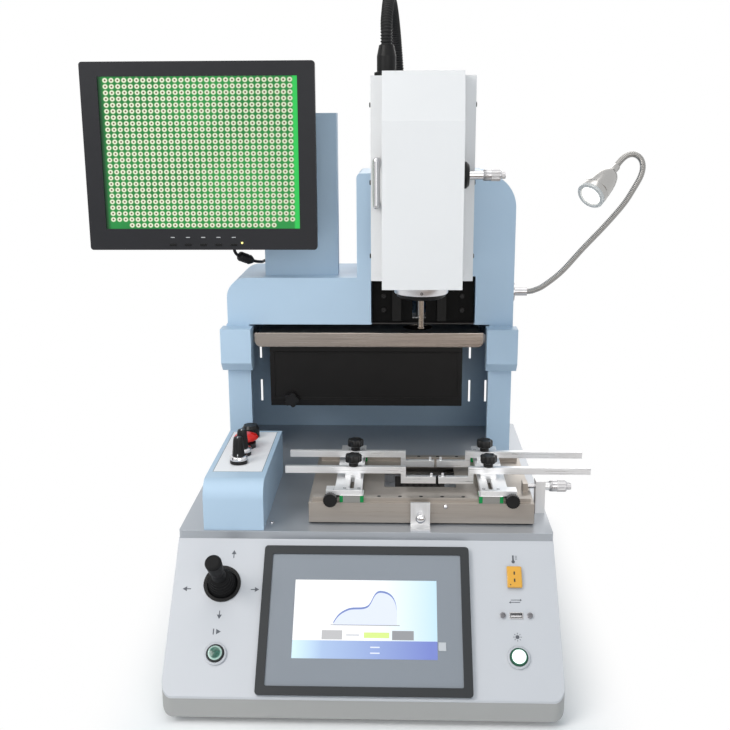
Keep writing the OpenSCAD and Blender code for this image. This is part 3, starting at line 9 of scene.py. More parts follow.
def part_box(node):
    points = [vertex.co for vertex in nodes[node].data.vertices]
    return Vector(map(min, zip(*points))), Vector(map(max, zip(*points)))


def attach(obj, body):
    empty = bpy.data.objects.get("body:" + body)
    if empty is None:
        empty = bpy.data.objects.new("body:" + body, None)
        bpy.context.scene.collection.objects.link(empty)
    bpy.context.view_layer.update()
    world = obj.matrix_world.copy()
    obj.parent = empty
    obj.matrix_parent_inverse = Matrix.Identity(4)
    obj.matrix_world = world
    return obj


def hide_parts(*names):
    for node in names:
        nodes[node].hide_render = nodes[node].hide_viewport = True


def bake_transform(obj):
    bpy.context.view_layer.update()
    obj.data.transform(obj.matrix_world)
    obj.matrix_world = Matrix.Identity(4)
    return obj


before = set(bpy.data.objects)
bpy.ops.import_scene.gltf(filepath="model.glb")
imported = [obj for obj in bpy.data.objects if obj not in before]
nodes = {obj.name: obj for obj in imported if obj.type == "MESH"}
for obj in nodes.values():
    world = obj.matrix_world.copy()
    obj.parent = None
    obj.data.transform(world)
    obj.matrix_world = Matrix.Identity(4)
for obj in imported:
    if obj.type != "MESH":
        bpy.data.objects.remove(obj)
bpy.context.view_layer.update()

MM = 0.001
LEAN = math.radians(45)
HERE = Matrix.Identity(4)
FRONT = Vector((0, -1, 0))
BACK = Vector((0, 1, 0))


# Colours and places

def srgb(red, green, blue):
    """Linear colour from display values of 0 to 255."""
    def linear(value):
        part = value / 255
        return part / 12.92 if part <= 0.04045 else ((part + 0.055) / 1.055) ** 2.4
    return (linear(red), linear(green), linear(blue), 1.0)


def toned(colour, factor):
    """The colour made darker or lighter."""
    return tuple(min(1.0, part * factor) for part in colour[:3]) + (1.0,)


def middle(node):
    """Middle of a CAD node, in millimetres."""
    low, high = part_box(node)
    return (low + high) / (2 * MM)


def corners(node):
    """Lowest and highest corner of a CAD node, in millimetres."""
    low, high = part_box(node)
    return low / MM, high / MM


deck_low, deck_high = corners("deck_plate")
PANEL_TOP = Vector((0, deck_low.y, deck_low.z))
PANEL_OUT = Vector((0, -math.cos(LEAN), math.sin(LEAN)))
PANEL_DOWN = Vector((0, -math.sin(LEAN), -math.cos(LEAN)))


def on_panel(across, down, out=0.0):
    """Place on the sloping panel: Z outwards, Y up the slope."""
    point = PANEL_TOP + Vector((across, 0, 0)) + PANEL_DOWN * down + PANEL_OUT * out
    return Matrix.Translation(point) @ Matrix.Rotation(math.pi / 2 - LEAN, 4, "X")


def facing(point, direction):
    """Place at a point with Z along a direction."""
    return Matrix.Translation(point) @ Vector(direction).to_track_quat("Z", "Y").to_matrix().to_4x4()


# Materials

def empty_material(name):
    """Material with no nodes yet."""
    material = bpy.data.materials.new(name)
    material.use_nodes = True
    material.node_tree.nodes.clear()
    return material


class Nodes:
    """Node tree with short calls for the nodes that repeat."""

    def __init__(self, tree):
        self.tree = tree

    def node(self, kind, **settings):
        made = self.tree.nodes.new(kind)
        for key, value in settings.items():
            setattr(made, key, value)
        return made

    def feed(self, socket, value):
        if isinstance(value, bpy.types.NodeSocket):
            self.tree.links.new(value, socket)
        else:
            socket.default_value = value

    def show(self, shader):
        """The shader as the material's surface."""
        self.feed(self.node("ShaderNodeOutputMaterial").inputs["Surface"], shader)

    def math(self, operation, a, b=0.0):
        made = self.node("ShaderNodeMath", operation=operation)
        self.feed(made.inputs[0], a)
        self.feed(made.inputs[1], b)
        return made.outputs[0]

    def times(self, a, b):
        return self.math("MULTIPLY", a, b)

    def rest(self, share):
        """What a share leaves of 1."""
        return self.math("SUBTRACT", 1.0, share)

    def between(self, value, low, high):
        """1 where the value lies between two limits."""
        return self.times(self.math("GREATER_THAN", value, low), self.math("LESS_THAN", value, high))

    def vector(self, operation, a, b=(0, 0, 0)):
        made = self.node("ShaderNodeVectorMath", operation=operation)
        self.feed(made.inputs[0], a)
        self.feed(made.inputs[1], b)
        return made.outputs["Value" if operation in ("DOT_PRODUCT", "LENGTH") else "Vector"]

    def mix(self, share, a, b):
        made = self.node("ShaderNodeMix", data_type="RGBA")
        self.feed(made.inputs[0], share)
        self.feed(made.inputs[6], a)
        self.feed(made.inputs[7], b)
        return made.outputs[2]

    def spread(self, value, low, high, to_low=0.0, to_high=1.0, kind="LINEAR"):
        """The value between two limits, brought to two others."""
        made = self.node("ShaderNodeMapRange", interpolation_type=kind)
        for socket, number in zip(made.inputs, (value, low, high, to_low, to_high)):
            self.feed(socket, number)
        return made.outputs[0]

    def seen_rays(self):
        """1 for rays from the camera, from mirrors and through glass."""
        rays = self.node("ShaderNodeLightPath").outputs
        total = rays["Is Camera Ray"]
        for kind in ("Is Glossy Ray", "Is Transmission Ray"):
            total = self.math("MAXIMUM", total, rays[kind])
        return total


class Finish(Nodes):
    """Node tree of one material round a Principled shader."""

    def __init__(self, name):
        self.material = empty_material(name)
        super().__init__(self.material.node_tree)
        self.bsdf = self.node("ShaderNodeBsdfPrincipled")
        self.show(self.bsdf.outputs[0])
        self.place = self.node("ShaderNodeTexCoord").outputs["Object"]

    def set(self, **values):
        for key, value in values.items():
            self.feed(self.bsdf.inputs[key.replace("_", " ")], value)

    def away(self, point):
        """The way from a point given in millimetres."""
        return self.vector("SUBTRACT", self.place, Vector(point) * MM)

    def from_axis(self, point, axis):
        """Distance from a line through a point given in millimetres."""
        return self.vector("LENGTH", self.vector("CROSS_PRODUCT", self.away(point), axis))

    def axes(self, place=None):
        made = self.node("ShaderNodeSeparateXYZ")
        self.feed(made.inputs[0], place or self.place)
        return made.outputs

    def noise(self, scale, detail=2.0, stretch=(1, 1, 1)):
        made = self.node("ShaderNodeTexNoise")
        self.feed(made.inputs["Vector"], self.vector("MULTIPLY", self.place, stretch))
        made.inputs["Scale"].default_value = scale
        made.inputs["Detail"].default_value = detail
        return made.outputs[0]

    def varied(self, share, colour, darker, lighter):
        """The colour between two of its tones."""
        return self.mix(share, toned(colour, darker), toned(colour, lighter))

    def inside(self, low, high):
        """1 within a box given in millimetres."""
        centre = (Vector(low) + Vector(high)) * MM / 2
        half = (Vector(high) - Vector(low)) * MM / 2
        away = self.vector("ABSOLUTE", self.vector("SUBTRACT", self.place, centre))
        mask = 1.0
        for part, reach in zip(self.axes(away), half):
            mask = self.times(mask, self.math("LESS_THAN", part, reach))
        return mask

    def relief(self, height, depth, edge):
        """Grain of the surface on edges that look rounded."""
        bevel = self.node("ShaderNodeBevel", samples=4)
        bevel.inputs["Radius"].default_value = edge * MM
        bump = self.node("ShaderNodeBump")
        bump.inputs["Distance"].default_value = depth * MM
        self.feed(bump.inputs["Height"], height)
        self.feed(bump.inputs["Normal"], bevel.outputs[0])
        self.set(Normal=bump.outputs[0])

    def worn_edges(self, colour, bright, radius):
        """The colour, lighter along edges that get rubbed."""
        bevel = self.node("ShaderNodeBevel", samples=4)
        bevel.inputs["Radius"].default_value = radius * MM
        flat = self.node("ShaderNodeNewGeometry").outputs["Normal"]
        bend = self.rest(self.vector("DOT_PRODUCT", bevel.outputs[0], flat))
        patchy = self.times(self.spread(bend, 0.04, 0.3), self.noise(90, 4))
        return self.mix(patchy, colour, bright)


def paint(name, colour, roughness=0.4, peel=0.05, zones=()):
    """Powder coat with a fine peel, slow changes of tone and rubbed edges."""
    made = Finish(name)
    tone = made.varied(made.noise(5, 3), colour, 0.965, 1.03)
    tone = made.worn_edges(tone, toned(colour, 1.18), 1.2)
    rough = made.spread(made.noise(30, 3), 0.3, 0.7, roughness - 0.05, roughness + 0.06)
    for low, high, zone_colour, zone_rough in zones:
        mask = made.inside(low, high)
        tone = made.mix(mask, tone, zone_colour)
        rough = made.spread(mask, 0, 1, rough, zone_rough)
    made.set(Base_Color=tone, Roughness=rough, Specular_IOR_Level=0.45)
    made.relief(made.noise(1300, 1), peel, 0.7)
    return made.material


def brushed(name, colour, roughness, grain, edge=0.35, zones=(), metal=1.0):
    """Metal with fine lines along one axis, drawn by stretching noise across it."""
    made = Finish(name)
    lines = made.noise(1, 6, grain)
    cloud = made.noise(9, 3)
    tone = made.varied(lines, colour, 0.82, 1.14)
    tone = made.mix(made.spread(cloud, 0.35, 0.7), tone, toned(colour, 0.95))
    for low, high, zone_colour in zones:
        tone = made.mix(made.inside(low, high), tone, made.mix(lines, zone_colour, toned(zone_colour, 1.2)))
    made.set(Base_Color=tone, Metallic=metal,
             Roughness=made.spread(lines, 0.25, 0.75, roughness - 0.08, roughness + 0.1))
    made.relief(lines, 0.014, edge)
    return made.material


def polished(name, colour, roughness=0.14, edge=0.3):
    """Bright metal with faint smears."""
    made = Finish(name)
    smear = made.noise(45, 4)
    made.set(Base_Color=made.varied(smear, colour, 0.94, 1.04), Metallic=1.0,
             Roughness=made.spread(smear, 0.3, 0.7, roughness - 0.05, roughness + 0.09))
    made.relief(made.noise(600, 2), 0.004, edge)
    return made.material


def plastic(name, colour, roughness=0.45, grain=0.03, scale=1600, shine=0.2):
    """Moulded plastic with a fine spark grain."""
    made = Finish(name)
    tone = made.varied(made.noise(14, 3), colour, 0.9, 1.1)
    tone = made.worn_edges(tone, toned(colour, 1.7), 0.8)
    rough = made.spread(made.noise(55, 3), 0.3, 0.7, roughness - 0.06, roughness + 0.07)
    made.set(Base_Color=tone, Roughness=rough, Specular_IOR_Level=shine)
    made.relief(made.noise(scale, 2), grain, 0.5)
    return made.material


def satin_sheet(name, colour, roughness):
    """Blasted metal sheet: dull mirror with soft clouds and no lines."""
    made = Finish(name)
    cloud = made.noise(7, 4)
    tone = made.varied(cloud, colour, 0.93, 1.06)
    tone = made.worn_edges(tone, toned(colour, 1.3), 1.0)
    made.set(Base_Color=tone, Metallic=0.5, Specular_IOR_Level=0.4,
             Roughness=made.spread(cloud, 0.3, 0.7, roughness - 0.04, roughness + 0.05))
    made.relief(made.noise(1700, 2), 0.012, 0.6)
    return made.material


def glowing(name, colour, strength, roughness=0.2):
    """Lit lens with a faint grain."""
    made = Finish(name)
    tone = made.mix(made.noise(220, 2), toned(colour, 0.95), colour)
    made.set(Base_Color=tone, Roughness=roughness, Emission_Color=tone, Emission_Strength=strength)
    made.relief(made.noise(300, 1), 0.02, 0.3)
    return made.material


BLUE = srgb(178, 201, 221)
WHITE = srgb(223, 222, 222)
PANEL = srgb(197, 198, 202)
SHELL = srgb(162, 161, 159)
DECK = srgb(174, 178, 184)
STEEL = srgb(170, 162, 154)
DARK_STEEL = srgb(146, 146, 143)
ALLOY = srgb(238, 238, 239)
CHROME = srgb(214, 214, 217)
BLACK = srgb(17, 17, 18)
FRAME_GREY = srgb(46, 48, 50)
FACE_GREY = srgb(136, 141, 148)
AMBER = srgb(226, 166, 60)
RED = srgb(214, 28, 20)
SEAL_GREEN = srgb(18, 136, 70)


# Pieces

def linked(name, data):
    """Object in the scene from its data."""
    made = bpy.data.objects.new(name, data)
    bpy.context.scene.collection.objects.link(made)
    return made


def meshed(name, mesh, material):
    """Object of one material from a mesh."""
    data = bpy.data.meshes.new(name)
    mesh.to_mesh(data)
    mesh.free()
    data.materials.append(material)
    return linked(name, data)


def placed(name, mesh, place, material, body, smooth=35.0):
    """Piece from a mesh in millimetres, moved to its place and riding on a body."""
    bmesh.ops.recalc_face_normals(mesh, faces=mesh.faces)
    mesh.transform(Matrix.Scale(MM, 4) @ place)
    made = meshed(name, mesh, material)
    made.data.shade_smooth()
    made.data.set_sharp_from_angle(angle=math.radians(smooth))
    if body:
        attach(made, body)
    return made


def skin(mesh, loops):
    """Faces from each loop to the next."""
    count = len(loops[0])
    for low, high in zip(loops, loops[1:]):
        for k in range(count):
            n = (k + 1) % count
            mesh.faces.new((low[k], low[n], high[n], high[k]))


def stitch(mesh, loops):
    """Skin over a row of loops, with closed ends."""
    skin(mesh, loops)
    mesh.faces.new(loops[0][::-1])
    mesh.faces.new(loops[-1])


def rounds(mesh, rings, sides, place):
    """Loops round Z, each from a radius, or a radius for each angle, and a height."""
    loops = []
    for radius, height in rings:
        loop = []
        for k in range(sides):
            angle = 2 * math.pi * k / sides
            reach = radius(angle) if callable(radius) else radius
            point = Vector((reach * math.cos(angle), reach * math.sin(angle), height))
            loop.append(mesh.verts.new(place @ point))
        loops.append(loop)
    return loops


def turned(rings, sides=32, mesh=None, place=HERE):
    """Closed mesh of rings round Z."""
    mesh = mesh or bmesh.new()
    stitch(mesh, rounds(mesh, rings, sides, place))
    return mesh


def hollow(rings, sides=40):
    """Ring-shaped mesh from a closed profile round Z."""
    mesh = bmesh.new()
    loops = rounds(mesh, rings, sides, HERE)
    skin(mesh, loops + loops[:1])
    return mesh


def hexagon(across):
    """Radius at an angle of a hexagon with that width across its flats."""
    return lambda angle: across / 2 / math.cos((angle % (math.pi / 3)) - math.pi / 6)


def socket_screw(mesh, place, radius, height):
    """Round screw head with a hexagon socket."""
    key = hexagon(radius)
    turned([(radius, 0), (radius, height * 0.75), (radius * 0.86, height), (key, height),
            (key, height * 0.3)], 24, mesh, place)


def screws(name, places, radius, height, material, body):
    """Piece of socket screws, one at each place."""
    mesh = bmesh.new()
    for place in places:
        socket_screw(mesh, place, radius, height)
    placed(name, mesh, HERE, material, body)


def block(mesh, low, high, round_edge=0.3):
    """Box with rounded edges between two corners."""
    low, high = Vector(low), Vector(high)
    size = Matrix.Diagonal((*(high - low), 1))
    made = bmesh.ops.create_cube(mesh, size=1, matrix=Matrix.Translation((low + high) / 2) @ size)
    edges = {edge for vert in made["verts"] for edge in vert.link_edges}
    bmesh.ops.bevel(mesh, geom=list(edges), offset=round_edge, segments=2, affect="EDGES")


def sheet(mesh, outline, thick, place):
    """Flat outline with a thickness, at a place."""
    low = [mesh.verts.new(place @ Vector((x, y, 0))) for x, y in outline]
    high = [mesh.verts.new(place @ Vector((x, y, thick))) for x, y in outline]
    stitch(mesh, [low, high])


def through(points, steps):
    """Smooth curve through points, with steps between neighbours."""
    points = [Vector(point) for point in points]
    last = len(points) - 1
    path = []
    for i in range(last):
        a, b, c, d = (points[min(max(i + k, 0), last)] for k in (-1, 0, 1, 2))
        for k in range(steps):
            t = k / steps
            path.append((2 * b + (c - a) * t + (2 * a - 5 * b + 4 * c - d) * t ** 2
                         + (3 * b - a - 3 * c + d) * t ** 3) / 2)
    return path + [points[last]]


def swept(path, radius, sides):
    """Closed tube along a path; radius is a function of the distance along it."""
    mesh = bmesh.new()
    loops = []
    along = 0.0
    side = Vector((1, 0.3, 0.2))
    for i, point in enumerate(path):
        ahead = (path[min(i + 1, len(path) - 1)] - path[max(i - 1, 0)]).normalized()
        side = (side - ahead * side.dot(ahead)).normalized()
        across = ahead.cross(side)
        if i:
            along += (point - path[i - 1]).length
        reach = radius(along)
        loops.append([mesh.verts.new(point + reach * (math.cos(turn) * side + math.sin(turn) * across))
                      for turn in (2 * math.pi * k / sides for k in range(sides))])
    stitch(mesh, loops)
    return mesh


def evenly(path, pitch):
    """The path's points again, a fixed distance apart."""
    spots = [path[0]]
    spare = 0.0
    for a, b in zip(path, path[1:]):
        run = (b - a).length
        reach = pitch - spare
        while reach <= run:
            spots.append(a.lerp(b, reach / run))
            reach += pitch
        spare = run - (reach - pitch)
    if (path[-1] - spots[-1]).length < pitch / 2:
        spots.pop()
    return spots + [path[-1]]


# Camera at the photograph's viewing angle

camera_data = bpy.data.cameras.new("camera")
camera_data.lens = 49.89
camera_data.sensor_width = 36
camera = linked("camera", camera_data)
CAMERA_AT = Vector((0.03758, -1.20216, 0.61482))
CAMERA_PAN, CAMERA_DIP, CAMERA_ROLL = 1.99, 13.74, -0.29
camera.matrix_world = (Matrix.Translation(CAMERA_AT)
                       @ Matrix.Rotation(math.radians(CAMERA_PAN), 4, "Z")
                       @ Matrix.Rotation(math.radians(90 - CAMERA_DIP), 4, "X")
                       @ Matrix.Rotation(math.radians(CAMERA_ROLL), 4, "Z"))
bpy.context.scene.camera = camera


# Hose from the head to the tower: ribbed

rubber = plastic("hose_rubber", srgb(26, 26, 27), 0.5, 0.02, 900)
HOSE_D = 14.0
HOSE_RIB = 3.4
HOSE_POINTS = [(22, 4, 695.4), (22, 4, 702), (22, 5, 711), (22, 10, 722), (23, 20, 735), (24, 39, 747),
               (25, 60, 751), (27, 84, 748), (29, 107, 738), (31, 127, 723), (33, 141, 704), (35, 151, 681),
               (37, 154, 657), (38, 154, 630), (38, 154, 600), (38, 154, 575), (38, 154, 557)]


def hose_radius(along):
    wave = math.cos(2 * math.pi * along / HOSE_RIB)
    return HOSE_D / 2 - 0.55 + 0.55 * math.copysign(abs(wave) ** 0.6, wave)


hose_path = evenly(through(HOSE_POINTS, 12), HOSE_RIB / 6)
hose = placed("hose", swept(hose_path, hose_radius, 20), HERE, rubber, None, 60)
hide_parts("air_hose")
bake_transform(hose)

# Lead from the monitor to the casing, with the connector in it

LEAD_D = 4.0
LEAD_POINTS = [(-178, 112, 451.7), (-178, 113, 446), (-175, 118, 440), (-168, 124, 436), (-160, 130, 432),
               (-153, 138, 429), (-149, 150, 427), (-149, 165, 425), (-147, 178, 425), (-141, 188, 425),
               (-132, 194, 424), (-124, 198, 422), (-120.5, 200, 419), (-120, 200, 416), (-120, 200, 413.4)]
CONNECTOR_A = Vector((-174, 119.5, 439.2))
CONNECTOR_B = Vector((-157, 133, 430.4))
CONNECTOR_R = 6.5
lead_path = evenly(through(LEAD_POINTS, 12), 1.0)
lead = placed("lead", swept(lead_path, lambda along: LEAD_D / 2, 16), HERE, rubber, None,
              60)
connector_long = (CONNECTOR_B - CONNECTOR_A).length
grips = [(CONNECTOR_R - 0.5 * (k % 2), 4 + k * 0.9) for k in range(12)]
connector = placed("lead_plug", turned(
    [(CONNECTOR_R - 2.5, 0), (CONNECTOR_R - 0.8, 1.2), (CONNECTOR_R, 3)] + grips
    + [(CONNECTOR_R, connector_long - 6), (CONNECTOR_R - 1.5, connector_long - 3),
       (LEAD_D / 2 + 1, connector_long)], 28),
    facing(CONNECTOR_A, CONNECTOR_B - CONNECTOR_A), rubber, None)
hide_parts("monitor_lead")
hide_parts("lead_connector")
for soft in (lead, connector):
    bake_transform(soft)


# Screens

def stacked(made, base, layers):
    """A picture built from masks and their colours, later ones on top."""
    for mask, colour in layers:
        base = made.mix(mask, base, colour)
    return base


def lit_screen(made, picture, face, strength):
    """Flat display under glass that shows a picture on its face and is dark elsewhere."""
    shown = made.mix(face, (0, 0, 0, 1), picture)
    made.set(Base_Color=made.mix(0.85, shown, (0, 0, 0, 1)), Roughness=0.16, Emission_Color=shown,
             Emission_Strength=strength, Specular_IOR_Level=0.35)
    made.relief(made.noise(2000, 1), 0.004, 0.2)
    return made.material


def board_picture():
    """Camera picture of a bare board: rows of ring pads on green."""
    pitch_x, pitch_z = 7.98, 7.5
    made = Finish("monitor_picture")
    low = corners("monitor_screen")[0]
    parts = made.axes(made.away(middle("monitor_screen")))
    x = made.math("DIVIDE", parts[0], pitch_x * MM)
    z = made.math("DIVIDE", parts[2], pitch_z * MM)
    cell_x = made.math("SUBTRACT", made.math("FRACT", made.math("ADD", x, 64.0)), 0.5)
    cell_z = made.math("SUBTRACT", made.math("FRACT", made.math("ADD", z, 64.5)), 0.5)
    far = made.math("SQRT", made.math("ADD", made.times(cell_x, cell_x),
                                      made.times(cell_z, cell_z)))
    pad = made.spread(far, 0.47, 0.39)
    shine = made.spread(far, 0.41, 0.31)
    hole = made.spread(far, 0.2, 0.12)
    across = made.math("ABSOLUTE", x)
    grid = made.times(made.math("LESS_THAN", across, 15.0), made.between(z, -12.5, 13.5))
    corner = made.times(made.math("GREATER_THAN", across, 12.0), made.rest(made.between(z, -11.5, 12.5)))
    pads = made.times(made.times(pad, grid), made.rest(corner))
    green = made.mix(made.spread(made.noise(12, 3), 0.35, 0.65), srgb(26, 122, 56), srgb(38, 146, 68))
    light = made.mix(made.spread(parts[0], -0.05, 0.125), srgb(232, 238, 212), srgb(214, 224, 196))
    metal = made.mix(shine, srgb(150, 184, 128), light)
    drilled = made.mix(hole, metal, srgb(104, 84, 58))
    edge_right = made.spread(parts[0], 0.1175, 0.1195)
    edge_left = made.spread(parts[0], -0.1185, -0.1235)
    picture = stacked(made, green, [
        (edge_right, srgb(44, 196, 84)), (pads, drilled), (edge_left, srgb(18, 62, 32))])
    face = made.math("LESS_THAN", made.axes()[1], (low.y + 0.4) * MM)
    return lit_screen(made, picture, face, 0.92)


def panel_picture():
    """Start page of the touch panel: a temperature curve over a lilac band."""
    made = Finish("touch_picture")
    spot = made.away(middle("touch_panel_screen"))
    x = made.axes(spot)[0]
    v = made.vector("DOT_PRODUCT", spot, -PANEL_DOWN)
    white = made.mix(made.spread(x, 0.0, 0.077), srgb(253, 254, 255), srgb(196, 226, 240))
    band_top = -0.0235
    band = made.mix(made.spread(x, -0.06, 0.07), srgb(176, 200, 232), srgb(122, 136, 204))
    band = made.mix(made.spread(x, -0.045, -0.077), band, srgb(214, 240, 250))
    curve = made.node("ShaderNodeFloatCurve")
    shape = curve.mapping.curves[0]
    for k, (share, level) in enumerate(((0.0, 0.04), (0.22, 0.42), (0.52, 0.5), (0.74, 0.95), (1.0, 0.2))):
        if 0 < k < 4:
            shape.points.new(share, level)
        else:
            shape.points[0 if k == 0 else -1].location = (share, level)
    curve.mapping.update()
    made.feed(curve.inputs["Value"], made.spread(x, -0.034, 0.034))
    wanted = made.spread(curve.outputs[0], 0.0, 1.0, -0.006, 0.032)
    off_curve = made.math("ABSOLUTE", made.math("SUBTRACT", v, wanted))
    in_plot = made.between(x, -0.034, 0.034)
    line = made.times(in_plot, made.math("LESS_THAN", off_curve, 0.0011))
    under = made.times(in_plot, made.between(made.math("SUBTRACT", v, wanted), -0.05, 0.0))
    under = made.times(under, made.math("GREATER_THAN", v, -0.0065))
    base_line = made.times(made.between(x, -0.037, 0.037), made.between(v, -0.0072, -0.0064))

    def tile(left, right, low, high):
        return made.times(made.between(x, left, right), made.between(v, low, high))

    rows = made.math("LESS_THAN", made.math("FRACT", made.math("DIVIDE", v, 0.0062)), 0.22)
    lines = made.times(tile(0.006, 0.016, -0.041, -0.0255), rows)
    picture = stacked(made, white, [
        (under, srgb(222, 229, 246)), (line, srgb(122, 140, 196)), (base_line, srgb(150, 150, 156)),
        (tile(-0.046, -0.024, -0.0225, -0.0125), srgb(190, 190, 192)),
        (tile(0.029, 0.052, -0.0225, -0.0125), srgb(150, 152, 156)),
        (tile(-0.001, 0.026, -0.0205, -0.0145), srgb(214, 236, 140)),
        (tile(-0.02, -0.006, -0.0182, -0.0168), srgb(196, 198, 204)),
        (made.math("LESS_THAN", v, band_top), band), (lines, srgb(226, 232, 250))])
    face = made.math("GREATER_THAN", made.vector("DOT_PRODUCT", spot, PANEL_OUT), 0.0)
    return lit_screen(made, picture, face, 0.97)


# Finishes of the CAD nodes

pod_low, pod_high = corners("control_pod")
KNOB_SHANK = 10
KNOB_GAP = 0.3
pod_top = corners("dimmer_knob_front")[0].z + KNOB_SHANK - KNOB_GAP
POD_RIM = 6
POD_BEND = 38
plate_low = Vector((pod_low.x + POD_RIM, pod_low.y + POD_BEND, pod_top - 1.6))
plate_high = Vector((pod_high.x - POD_RIM, pod_high.y - POD_RIM, pod_top + 0.05))
# Width of the dark band painted round the pod's top plate: painted shade of the recess the plate sits in
POD_SHADE_LINE = Vector((0.7, 0.7, 0))
pod_collar = ((pod_low.x, pod_low.y, pod_top + 0.06), pod_high)
SWIVEL_DEEP = 14.65
post_face = corners("monitor_post")[0].y + SWIVEL_DEEP


def touch_frame_finish():
    """Dark frame round a lighter face that lies a little lower."""
    made = Finish("touch_frame")
    out = made.vector("DOT_PRODUCT", made.away(PANEL_TOP), PANEL_OUT)
    sunk = made.spread(out, 0.00462, 0.00458)
    grain = made.noise(1500, 2)
    dark = made.varied(made.noise(12, 3), FRAME_GREY, 0.92, 1.08)
    dark = made.worn_edges(dark, toned(FRAME_GREY, 1.5), 1.0)
    face = made.varied(made.noise(7, 3), FACE_GREY, 0.96, 1.05)
    made.set(Base_Color=made.mix(sunk, dark, face), Roughness=made.spread(sunk, 0, 1, 0.42, 0.3),
             Specular_IOR_Level=0.25)
    made.relief(grain, 0.02, 0.6)
    return made.material


THIMBLE_LEN = 20
RATCHET_LEN = 5
THIMBLE_LINES = 50


def thimble_start(node):
    """Edge of a thimble that carries its scale, on its axis."""
    spot = middle(node)
    spot.x = corners(node)[1].x - RATCHET_LEN - THIMBLE_LEN
    return spot


def thimble_finish(node):
    """Satin metal with engraved division lines round the bevelled edge."""
    made = Finish(node)
    away = made.axes(made.away(thimble_start(node)))
    turn = made.times(made.math("ARCTAN2", away[2], away[1]), THIMBLE_LINES / math.tau)
    turn = made.math("ADD", turn, THIMBLE_LINES)
    line = made.math("LESS_THAN", made.math("FRACT", turn), 0.24)
    fifth = made.math("LESS_THAN", made.math("FRACT", made.math("DIVIDE", turn, 5.0)), 0.2)
    reach = made.spread(fifth, 0, 1, 0.0036, 0.0056)
    line = made.times(line, made.between(away[0], 0.0003, reach))
    smear = made.noise(60, 3)
    tone = made.varied(smear, CHROME, 0.62, 0.76)
    made.set(Base_Color=made.mix(line, tone, srgb(40, 40, 42)), Metallic=1.0,
             Roughness=made.spread(smear, 0.3, 0.7, 0.22, 0.36))
    made.relief(line, -0.05, 0.3)
    return made.material


blue_paint = paint("blue_paint", BLUE)
white_paint = paint("white_paint", WHITE, 0.36)
shell_paint = paint("shell_paint", SHELL, 0.45)
panel_paint = paint("panel_paint", PANEL, 0.4, 0.04)
deck_sheet = satin_sheet("deck_sheet", DECK, 0.34)
black_plastic = plastic("black_plastic", BLACK, 0.42)
black_metal = plastic("black_metal", srgb(18, 17, 17), 0.38, 0.02, 2200)
knob_black = plastic("knob_black", srgb(16, 16, 17), 0.34, 0.015, 1200, 0.3)
monitor_black = plastic("monitor_black", srgb(38, 38, 41), 0.42, 0.03, 1500)
feet_rubber = plastic("feet_rubber", srgb(30, 30, 30), 0.65, 0.05, 500)
steel_x = brushed("steel_lines_x", STEEL, 0.34, (14, 1900, 1900), 0.8, metal=0.6)
PLATE_T = 6
PLATE_Z = corners("left_carriage")[1].z - PLATE_T
steel_y = brushed("steel_lines_y", ALLOY, 0.34, (1900, 14, 1900), 0.7, [
    ((-400, -400, 0), (400, 400, PLATE_Z - 0.05), DARK_STEEL)], 0.7)
strip_steel = brushed("strip_steel", srgb(180, 172, 165), 0.2, (10, 1900, 1900), 1.8)
nozzle_steel = brushed("nozzle_steel", srgb(146, 135, 124), 0.2, (1500, 1500, 40))
alloy = brushed("alloy", ALLOY, 0.32, (20, 900, 900), 0.8, metal=0.6)
alloy_z = brushed("alloy_upright", toned(ALLOY, 0.9), 0.36, (900, 900, 20), metal=0.7)
chrome = polished("chrome", CHROME)
satin_steel = polished("satin_steel", srgb(186, 186, 188), 0.3)
dark_nickel = polished("dark_nickel", srgb(112, 112, 116), 0.3)
red_plastic = plastic("red_plastic", RED, 0.28, 0.01, shine=0.5)
heater_black = plastic("heater_black", srgb(38, 36, 35), 0.7, 0.08, 700)
dark_ring = plastic("dark_ring", srgb(24, 30, 30), 0.3, 0.01, shine=0.4)
amber_plastic = plastic("amber_plastic", AMBER, 0.38, 0.02, shine=0.4)

head_low, head_high = corners("head_box")
cover_low, cover_high = corners("head_cover")
fit_low, fit_high = corners("head_fittings")
drive_low, drive_high = corners("lift_drive")
casing_low, casing_high = corners("upper_casing")
base_low, base_high = corners("base_shell")
INLET_DEEP = 25
BUTTON_REACH = Vector((16, 16, 16))
COLLAR_Z = cover_low.z - 10.8
slide_low, slide_high = corners("slide_plate")


def head_fittings_finish():
    """Bright collar and handle with black dial, hose connector and bracket."""
    made = Finish("head_fittings")
    smear = made.noise(50, 3)
    lathe = made.noise(1, 4, (60, 60, 1800))
    bright = made.varied(smear, CHROME, 0.86, 0.98)
    dark = made.mix(made.noise(20, 3), srgb(12, 12, 13), srgb(24, 24, 25))
    dial = made.inside((cover_high.x - 1, fit_low.y - 90, cover_low.z),
                       (cover_high.x + 8.05, head_low.y + 20, cover_high.z))
    top = made.inside((head_low.x, head_low.y, head_high.z - 0.05),
                      (head_high.x, head_high.y, fit_high.z + 9))
    rear = made.inside((head_low.x - 20, head_high.y - 0.05, head_low.z),
                       (head_high.x + 20, fit_high.y + 9, head_high.z + 90))
    hub = made.inside((cover_low.x - 30, cover_low.y - 30, 0), (head_high.x, head_high.y, COLLAR_Z + 0.5))
    black = 0.0
    for part in (dial, top, rear, hub):
        black = made.math("MAXIMUM", black, part)
    made.set(Base_Color=made.mix(black, bright, dark), Metallic=made.rest(black),
             Roughness=made.spread(black, 0, 1, made.spread(smear, 0.3, 0.7, 0.16, 0.28), 0.42),
             Specular_IOR_Level=0.2)
    made.relief(lathe, 0.015, 0.4)
    return made.material


